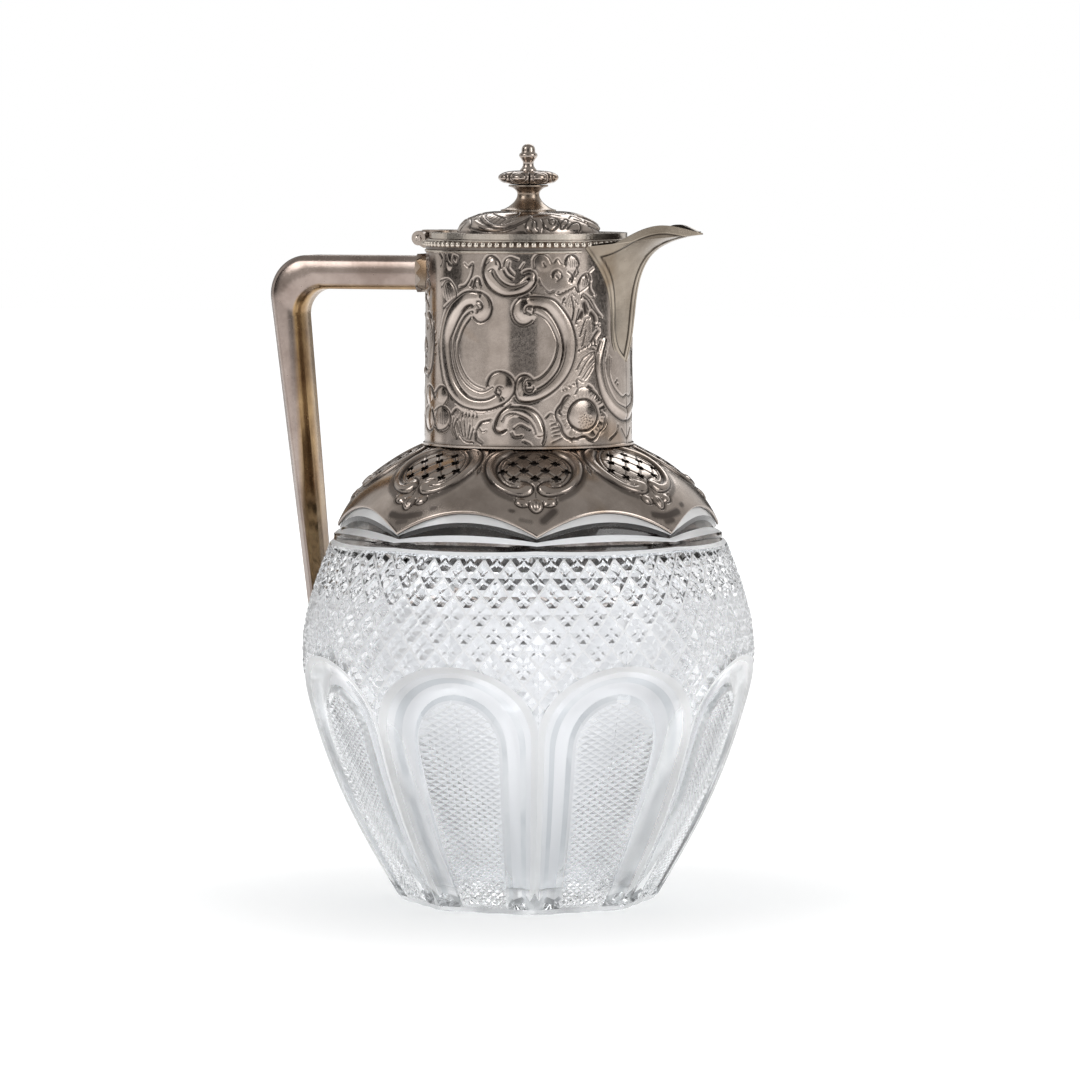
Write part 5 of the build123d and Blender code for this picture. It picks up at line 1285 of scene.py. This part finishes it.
def lid_dome():
    """Low dome of the lid, chased with plumes, bells and roses."""
    rows, columns, under_rows, thick = 84, 528, 14, 1.0
    run = run_along(np.array(DOME_PROFILE))
    wide, tall = (curve_through([(at, p[i]) for at, p in zip(run, DOME_PROFILE)]) for i in (0, 1))
    climb = np.linspace(0, run[-1], rows)
    turn = np.arange(columns) * TAU / columns
    third = 20 * TAU / 3
    along = 20 * ((turn + radians(70) + pi / 3) % (TAU / 3) - pi / 3)
    u, v = np.broadcast_to(along, (rows, columns)), np.broadcast_to(climb[:, None], (rows, columns))
    work = Chasing(u, v)
    for shift in (0, third, -third):
        move = lambda line: [(a + shift, b) for a, b in line]
        work.lines([move(line) for line in PLUME], 0.7, 0.4, 0.85, 0.25)
        work.lines([move(line) for line in LID_FLOWERS], 0.6, 0.4, 0.9, 0.2)
        work.swell(move(between(PLUME[0], PLUME[1], 0.5)), 1.2, 0.55)
        work.swell(move(between(PLUME[1], PLUME[2], 0.5)), 1.0, 0.5)
        work.boss(7.4 + shift, 4.8, 2.8, 3.4, 0.5)
        work.boss(12.0 + shift, 4.4, 2.0, 2.4, 0.35)
        work.boss(0.9 + shift, 3.4, 1.7, 3.0, 0.45)
        for n in range(6):
            barb = [(-16.5 + 1.9 * n, 5.4 - 0.3 * n), (-15.2 + 1.9 * n, 9.0 - 0.5 * n)]
            work.line(move(barb), 0.4, 0.2, 0.7, 0.1)
    # painted shade where the dome meets the flange, and round the foot of the finial's pedestal
    work.stain([(-45, 0.0), (45, 0.0)], 1.3, 0.5)
    work.stain([(-45, run[-1]), (45, run[-1])], 3.6, 0.9)
    relief, dark = work.result(u.shape)
    relief = relief * np.clip(v / 0.8, 0, 1) * np.clip((run[-1] - v) / 0.8, 0, 1)
    lean = np.arctan2(np.gradient(tall(climb)), -np.gradient(wide(climb)))[:, None]
    radius = wide(climb)[:, None] + relief * np.sin(lean)
    height = tall(climb)[:, None] + relief * np.cos(lean)
    # bore for the finial's stud, and the underside back to the edge
    under = np.linspace(1, 0, under_rows)
    back = run[-1] * under
    deep_r = wide(back) - thick * np.clip(1.2 - under, 0.25, 1)
    deep_z = tall(back) - thick * np.clip(under * 1.4, 0, 1)
    below_r, below_z = np.concatenate([[1.6, 1.6], deep_r]), np.concatenate([[245.1, 244.1], deep_z])
    flat = np.zeros((under_rows + 2, columns))
    radius = np.vstack([radius, flat + below_r[:, None]])
    height = np.vstack([height, flat + below_z[:, None]])
    tarnish = np.vstack([dark, flat + 0.3])
    swept_sheet("lid_dome_chased", from_axis(radius, turn, height), tarnish, True, "lid", ("lid_dome",))


# ------------------------------------------------------------------ spout
def path_through(marks):
    """Smooth line through places in space, at a share of its length."""
    marks = np.array(marks, float)
    run = run_along(marks)
    parts = [curve_through(list(zip(run / run[-1], marks[:, i]))) for i in range(3)]
    return lambda share: np.stack([part(share) for part in parts], -1)


def soft_line(far, place, width):
    """1 on a line that lies at a distance, fading away beside it."""
    return np.exp(-((far - place) / width) ** 2)


def spout():
    """Faceted spout: raised strips along its edges, a hollow panel between them, dark lines beside them."""
    rows, columns, rim_rows = 120, 56, 21
    marks = [(0.5, 191), (15, 196.6), (18, 208), (21.5, 219), (31, 228), (38, 233)]
    border = path_through([from_axis(neck_radius(z), np.radians(-a), z) for a, z in marks])
    keel = path_through([
        (36.6, 0, 191), (39.1, 0, 202), (41.1, 0, 218), (47.1, 0, 231), (57.1, 0, 235.9), (65.1, 0, 237.2)])
    brim = curve_through([
        (22.2, 232.2), (36.7, 233.4), (46.6, 238.7), (53.6, 240.5), (61.1, 238.9), (66.6, 237.2)])
    share = np.linspace(0.03, 1, rows)
    across = np.linspace(0, 1, columns)[None, :, None]
    near, front = border(share)[:, None, :], keel(share)[:, None, :]
    chord = (front - near) / np.linalg.norm(front - near, axis=-1, keepdims=True)
    side = np.array([0, -1.0, 0])
    outward = side - chord * (chord @ side)[..., None]
    outward /= np.linalg.norm(outward, axis=-1, keepdims=True)
    bulge = 2.6 * share[:, None, None] ** 2 - 0.3
    place = near + (front - near) * across + outward * bulge * 4 * across * (1 - across)
    # upper rows rise to the brim
    long = np.linalg.norm(front - near, axis=-1)
    top = np.maximum(brim(place[-1, :, 0]), place[-1, :, 2] + 0.03)
    rise = np.linspace(0, 1, rim_rows + 1)[1:, None]
    more = np.repeat(place[-1:], rim_rows, axis=0)
    more[:, :, 2] += (top - place[-1, :, 2])[None, :] * rise
    place = np.vstack([place, more])
    long = np.vstack([long, np.repeat(long[-1:], rim_rows, axis=0)])
    # strips and lines, by distance from the edges
    from_neck, from_keel = across[:, :, 0] * long, (1 - across[:, :, 0]) * long
    from_brim = np.maximum(brim(place[..., 0]) - place[..., 2], 0)
    edge = np.minimum(np.minimum(from_neck, from_keel), from_brim)
    relief = -0.45 * np.clip((edge - 2.7) / 0.5, 0, 1)
    relief = relief - 0.25 * np.clip(1 - np.abs(from_keel - 1.0) / 0.4, 0, 1)
    relief = relief - 0.18 * np.clip(1 - np.abs(from_neck - 1.3) / 0.4, 0, 1)
    dark = np.maximum(0.95 * soft_line(edge, 3.1, 0.42), 0.8 * soft_line(from_keel, 1.0, 0.28))
    dark = np.maximum(dark, 0.55 * soft_line(from_neck, 1.3, 0.3))
    # painted shadow along the joint with the neck
    dark = np.maximum(dark, 0.85 * np.clip(1 - from_neck / 0.5, 0, 1))
    dark = np.maximum(dark, 0.22 * np.clip((edge - 3) / 1.0, 0, 1))
    # both faces of the near half, closed on the keel, then the same mirrored
    normal = np.cross(np.gradient(place, axis=1), np.gradient(place, axis=0))
    normal /= np.maximum(np.linalg.norm(normal, axis=-1, keepdims=True), 1e-9)
    normal *= np.where((normal[..., 1:2].mean() > 0), -1, 1)
    face, back = place + normal * relief[..., None], place - normal * 1.2
    back[:, -1] = place[:, -1] - np.array([1.7, 0, -0.2])
    face[:, -1, 1] = back[:, -1, 1] = 0
    back[..., 1] = np.minimum(back[..., 1], np.where(np.arange(columns) < columns - 1, -0.02, 0))
    whole = lambda half: np.concatenate([half, (half * [1, -1, 1])[:, -2::-1]], axis=1)
    dark = np.concatenate([dark, dark[:, -2::-1]], axis=1)
    keep = np.ones((dark.shape[0] - 1, dark.shape[1] - 1), bool)
    pierced_sheet("spout_faceted", whole(face), whole(back), dark, keep, gilded, ("spout",), 50)


# ------------------------------------------------------------------ rim and finial
BEAD_COUNT, BEAD_R, BEAD_Z, BEAD_HALF = 82, 36.78, 233.8, 1.08    # the row's radius and height over the table
BEAD_TURN = 333                                                   # degrees of the rim that the row goes round


def bead(turn, first):
    """A round bead on the rim, as rings about its axis outwards."""
    rings, sides = 6, 10
    points = []
    for i in range(rings + 1):
        tilt = pi * i / rings
        for k in range(sides):
            spin = TAU * k / sides
            radius, along = BEAD_R + 1.02 * cos(tilt), BEAD_HALF * sin(tilt) * cos(spin)
            x, y = radius * cos(turn) - along * sin(turn), radius * sin(turn) + along * cos(turn)
            points.append((x, y, BEAD_Z + BEAD_HALF * sin(tilt) * sin(spin)))
    rows = [list(range(first + i * sides, first + (i + 1) * sides)) for i in range(rings + 1)]
    return points, ring_faces(rows, sides)


def beads():
    """Row of round beads on a flat wire under the rim, open at the hinge, and the rim's own ring."""
    for side, name in ((-1, "near"), (1, "far")):
        points, faces = [], []
        for n in range(BEAD_COUNT // 2):
            more, walls = bead(side * radians((n + 0.5) * BEAD_TURN / BEAD_COUNT), len(points))
            points += more
            faces += walls
        mesh_piece("beads_" + name, points, faces, "jug", bright_rim, ("beaded_wire_" + name,), 60)
    turn = np.radians(np.linspace(-BEAD_TURN / 2, BEAD_TURN / 2, BEAD_TURN + 1))
    section = [(36.28, 232.7), (36.7, 232.7), (36.82, 232.9), (36.82, 234.7), (36.7, 234.9), (36.28, 234.9)]
    r, z = np.array(section).T[:, :, None]
    grid = from_axis(r, turn, z)
    index = np.arange(grid.shape[0] * grid.shape[1]).reshape(grid.shape[:2])
    after = np.roll(index, -1, 0)
    quads = np.stack([index[:, :-1], index[:, 1:], after[:, 1:], after[:, :-1]], -1).reshape(-1, 4).tolist()
    caps = [index[:, 0].tolist(), index[::-1, -1].tolist()]
    mesh_piece("bead_wire", grid.reshape(-1, 3), quads + caps, "jug", wire_with_painted_shade, smooth=35)
    ring = [
        (34.7, 234.62), (36.05, 234.62), (36.2, 234.8), (36.2, 235.2), (36.05, 235.38), (34.85, 235.38),
        (34.7, 235.2)]
    turned("rim_ring", ring, 160, "jug", bright_rim, 35, ("rim_band",))


def finial():
    """Lobed lens-shaped disc with a chased ring on each lobe, and the acorn above it."""
    columns, rows = 320, 64
    turn = np.arange(columns) * TAU / columns
    tilt = np.linspace(-pi / 2, pi / 2, rows)[:, None]
    lobe = 1 - 0.105 * (1 - np.sqrt(np.abs(np.cos(4 * turn))))[None, :] * np.cos(tilt)
    around = ((turn + pi / 8) % (pi / 4) - pi / 8) * 10.2
    work = Chasing(np.broadcast_to(around, (rows, columns)), np.broadcast_to(tilt * 4.2, (rows, columns)))
    work.line(oval(0, 0.2, 2.7, 2.6, np.linspace(0, TAU, 21)), 0.55, 0.32, 0.85, 0.25)
    work.boss(0, 0.2, 2.4, 2.3, 0.35)
    work.lines([[(x, -3.4), (x, 3.4)] for x in (-4.0, 4.0)], 0.6, 0.3, 0.85, 0.25)
    relief, dark = work.result((rows, columns))
    radius = (10.75 * np.cos(tilt) ** 0.62 + relief * np.cos(tilt)) * lobe
    rise = 2.55 * np.sign(np.sin(tilt)) * np.abs(np.sin(tilt)) ** 0.85
    height = 256.9 + rise + 0.2 * relief * np.sin(tilt)
    radius[0], radius[-1] = 0.6, 0.6
    swept_sheet("finial_disc_lobed", from_axis(radius, turn, height), dark, True, "lid", ("finial_disc",))
    acorn = [
        (0.1, 259.3), (2.9, 259.3), (2.9, 259.7), (2.35, 260.3), (1.95, 261.1), (1.85, 261.9), (2.05, 262.7),
        (2.6, 263.5), (3.1, 264.2), (3.25, 264.8), (3.1, 265.35), (2.5, 265.75), (2.38, 266.2), (2.38, 266.9),
        (2.2, 267.6), (1.8, 268.2), (1.2, 268.6), (0.6, 268.82), (0.1, 268.88)]
    turned("finial_acorn", acorn, 64, "lid", polished, 50, ("finial_knop",))


# ------------------------------------------------------------------ pieces kept from the part
def dressed(node, body, mat):
    """A merged and smoothed copy of a plain piece, in its own finish."""
    piece = placed(node + "_dressed", frame["nodes"][node].data.copy())
    finished(piece, body, mat, 32, (node,))


def handle_lappets():
    """Pointed leaves of silver that lie over the octagonal collar where the handle meets it."""
    half_wide, half_tall, cut, middle = 8.3, 6.8, 2.4, 223.0
    root, fork, reach, thick = -39.9, -39.55, 1.9, 0.25    # leaves part at the fork and reach to their tips
    tall, wide = half_tall - cut, half_wide - cut
    corners = [(half_wide, -tall), (half_wide, tall), (wide, half_tall), (-wide, half_tall)]
    corners += [(-y, -z) for y, z in corners]
    loop = np.array(corners + corners[:1])
    run = run_along(loop)
    at = np.unique(np.concatenate([run[:-1], np.linspace(0, run[-1], 121)[:-1]]))
    y, z = np.interp(at, run, loop[:, 0]), np.interp(at, run, loop[:, 1])
    point = 1 - 2 * np.abs(((at - run[1] / 2) / (run[-1] / 12)) % 1 - 0.5)
    edge, straight = fork + reach * point, np.full(len(at), root)
    size = 1 - thick / half_wide
    rows = [(straight, 1.0), (edge, 1.0), (edge, size), (straight, size)]
    grid = np.stack([np.stack([x, y * k, middle + z * k], -1) for x, k in rows])
    swept_sheet("handle_lappets", grid, np.full(grid.shape[:2], 0.1), True, smooth=25)


glass_vessel()
neck()
shoulder()
handle_lappets()
lid_dome()
spout()
beads()
finial()
KEPT = (
    ("jug", handled, "handle"), ("jug", golden, "handle_socket"), ("jug", golden, "handle_foot_plate"),
    ("jug", polished, "joint_wire"), ("jug", bright_rim, "rim_fillet"), ("jug", polished, "hinge_fork"),
    ("jug", polished, "hinge_pin"), ("lid", polished, "hinge_tongue"), ("lid", bright_rim, "lid_flange"),
    ("lid", polished, "lid_bezel"), ("lid", golden, "finial_pedestal"),
)
for body, mat, node in KEPT:
    dressed(node, body, mat)
HIDDEN = (
    (plaster, "plaster_bed"), (brass, "finial_washer"), (brass, "finial_nut"), (polished, "finial_stud"))
for mat, node in HIDDEN:
    give(frame["nodes"][node], mat)


# ------------------------------------------------------------------ stage, in metres
def stage_floor():
    """Pale sweep: bright to the eye, with a painted shadow under the jug, and plain paint to the light."""
    mat, tree = material("pale_sweep_paint")
    away = add(tree, "VectorMath", {"operation": "LENGTH", 0: add(tree, "TexCoord").outputs["Object"]})
    # painted shadow: the white glow is dimmer near the jug's axis
    soft = add(tree, "MapRange", {
        "interpolation_type": "SMOOTHSTEP", "Value": away.outputs["Value"],
        "From Min": 0.03, "From Max": 0.26, "To Min": 0.42, "To Max": 0.90})
    white = add(tree, "Emission", {"Color": (1, 1, 1, 1), "Strength": soft.outputs["Result"]})
    paint = add(tree, "BsdfDiffuse", {"Color": (0.86, 0.86, 0.86, 1)})
    part = add(tree, "BsdfDiffuse", {"Color": (0.62, 0.62, 0.62, 1)})
    lit = add(tree, "AddShader", {0: white.outputs[0], 1: part.outputs[0]})
    mix = add(tree, "MixShader", {0: seen_by_eye(tree), 1: paint.outputs[0], 2: lit.outputs[0]})
    add(tree, "OutputMaterial", {"Surface": mix.outputs[0]})
    deselect()
    bpy.ops.mesh.primitive_plane_add(size=12, location=(0, 0, -0.0002))
    floor = bpy.context.active_object
    floor.name = "floor"
    bpy.ops.object.transform_apply(location=True)
    give(floor, mat)


def world_light():
    """A room that is white to the eye, and lights from above and from the front."""
    world = bpy.data.worlds.new("white_room")
    bpy.context.scene.world = world
    world.use_nodes = True
    tree = world.node_tree
    tree.nodes.clear()
    way = add(tree, "SeparateXYZ", {0: add(tree, "TexCoord").outputs["Generated"]}).outputs
    rise = add(tree, "MapRange", {
        "Value": way["Z"], "From Min": 0.05, "From Max": 0.9, "To Min": 0.95, "To Max": 0.35})
    front = add(tree, "MapRange", {
        "Value": way["Y"], "From Min": -0.9, "From Max": 0.6, "To Min": 0.30, "To Max": 1.0})
    both = add(tree, "Math", {"operation": "MULTIPLY", 0: rise.outputs["Result"], 1: front.outputs["Result"]})
    room = add(tree, "Background", {"Color": (1, 1, 1, 1), "Strength": both.outputs[0]})
    plain = add(tree, "Background", {"Color": (1, 1, 1, 1), "Strength": 1.0})
    mix = add(tree, "MixShader", {0: seen_by_eye(tree), 1: room.outputs[0], 2: plain.outputs[0]})
    add(tree, "OutputWorld", {"Surface": mix.outputs[0]})


def card(name, tone, corners):
    """A matt card far out beside the stage, that only shows in the silver and the glass."""
    mat, tree = material(name + "_tone")
    glow = add(tree, "Emission", {"Color": (tone, tone * 0.985, tone * 0.96, 1), "Strength": 1.0})
    add(tree, "OutputMaterial", {"Surface": glow.outputs[0]})
    mesh = bpy.data.meshes.new(name)
    mesh.from_pydata(corners, [], [(0, 1, 2, 3)])
    piece = placed(name, mesh)
    mesh.materials.append(mat)
    piece.visible_camera = piece.visible_diffuse = piece.visible_transmission = piece.visible_shadow = False


def cards():
    """Grey walls and ceiling for the metal to reflect, with a narrow dark card on each side."""
    high, far = 2.4, 3.2
    walls = ((-45, -21, 0.78, high), (-21, 10, 0.02, 1.9), (10, 45, 0.58, high))    # from, to, tone, top
    card("ceiling_card", 0.40, [(-4, -4, high), (-4, 4, high), (4, 4, high), (4, -4, high)])
    for n in range(4):
        middle = -70.0 + 90 * n
        for k, (start, end, tone, top) in enumerate(walls):
            (ax, ay), (bx, by) = oval(0, 0, far, far, (radians(middle + start), radians(middle + end)))
            corners = [(ax, ay, 0.02), (bx, by, 0.02), (bx, by, top), (ax, ay, top)]
            card("wall_card_%d_%d" % (n + 1, k + 1), tone, corners)


def aimed(made, place, target):
    made.location = place
    made.rotation_euler = (Vector(target) - Vector(place)).to_track_quat("-Z", "Y").to_euler()


def lamp(name, place, size, power):
    """Soft box turned to the jug."""
    data = bpy.data.lights.new(name, "AREA")
    data.shape = "RECTANGLE"
    data.size, data.size_y = size
    data.energy = power
    aimed(placed(name, data), place, (0, 0, 0.15))


def camera():
    """About 2.1 m away, 20 degrees round towards the spout and a little above."""
    data = bpy.data.cameras.new("camera")
    data.lens = 198.0
    data.sensor_width = 36.0
    turn, far, shift = radians(20), 2.105, 0.00412
    made = placed("camera", data)
    aimed(made, (far * sin(turn), -far * cos(turn), 0.277), (shift * cos(turn), shift * sin(turn), 0.1284))
    bpy.context.scene.camera = made


stage_floor()
world_light()
cards()
lamp("key_softbox", (-1.2, -1.4, 1.5), (1.0, 1.0), 12)
lamp("side_softbox", (1.6, -0.3, 0.9), (0.8, 1.2), 9)
lamp("back_softbox", (-0.3, 1.6, 1.3), (1.4, 0.8), 8)
camera()
bpy.context.scene.view_settings.view_transform = "Standard"
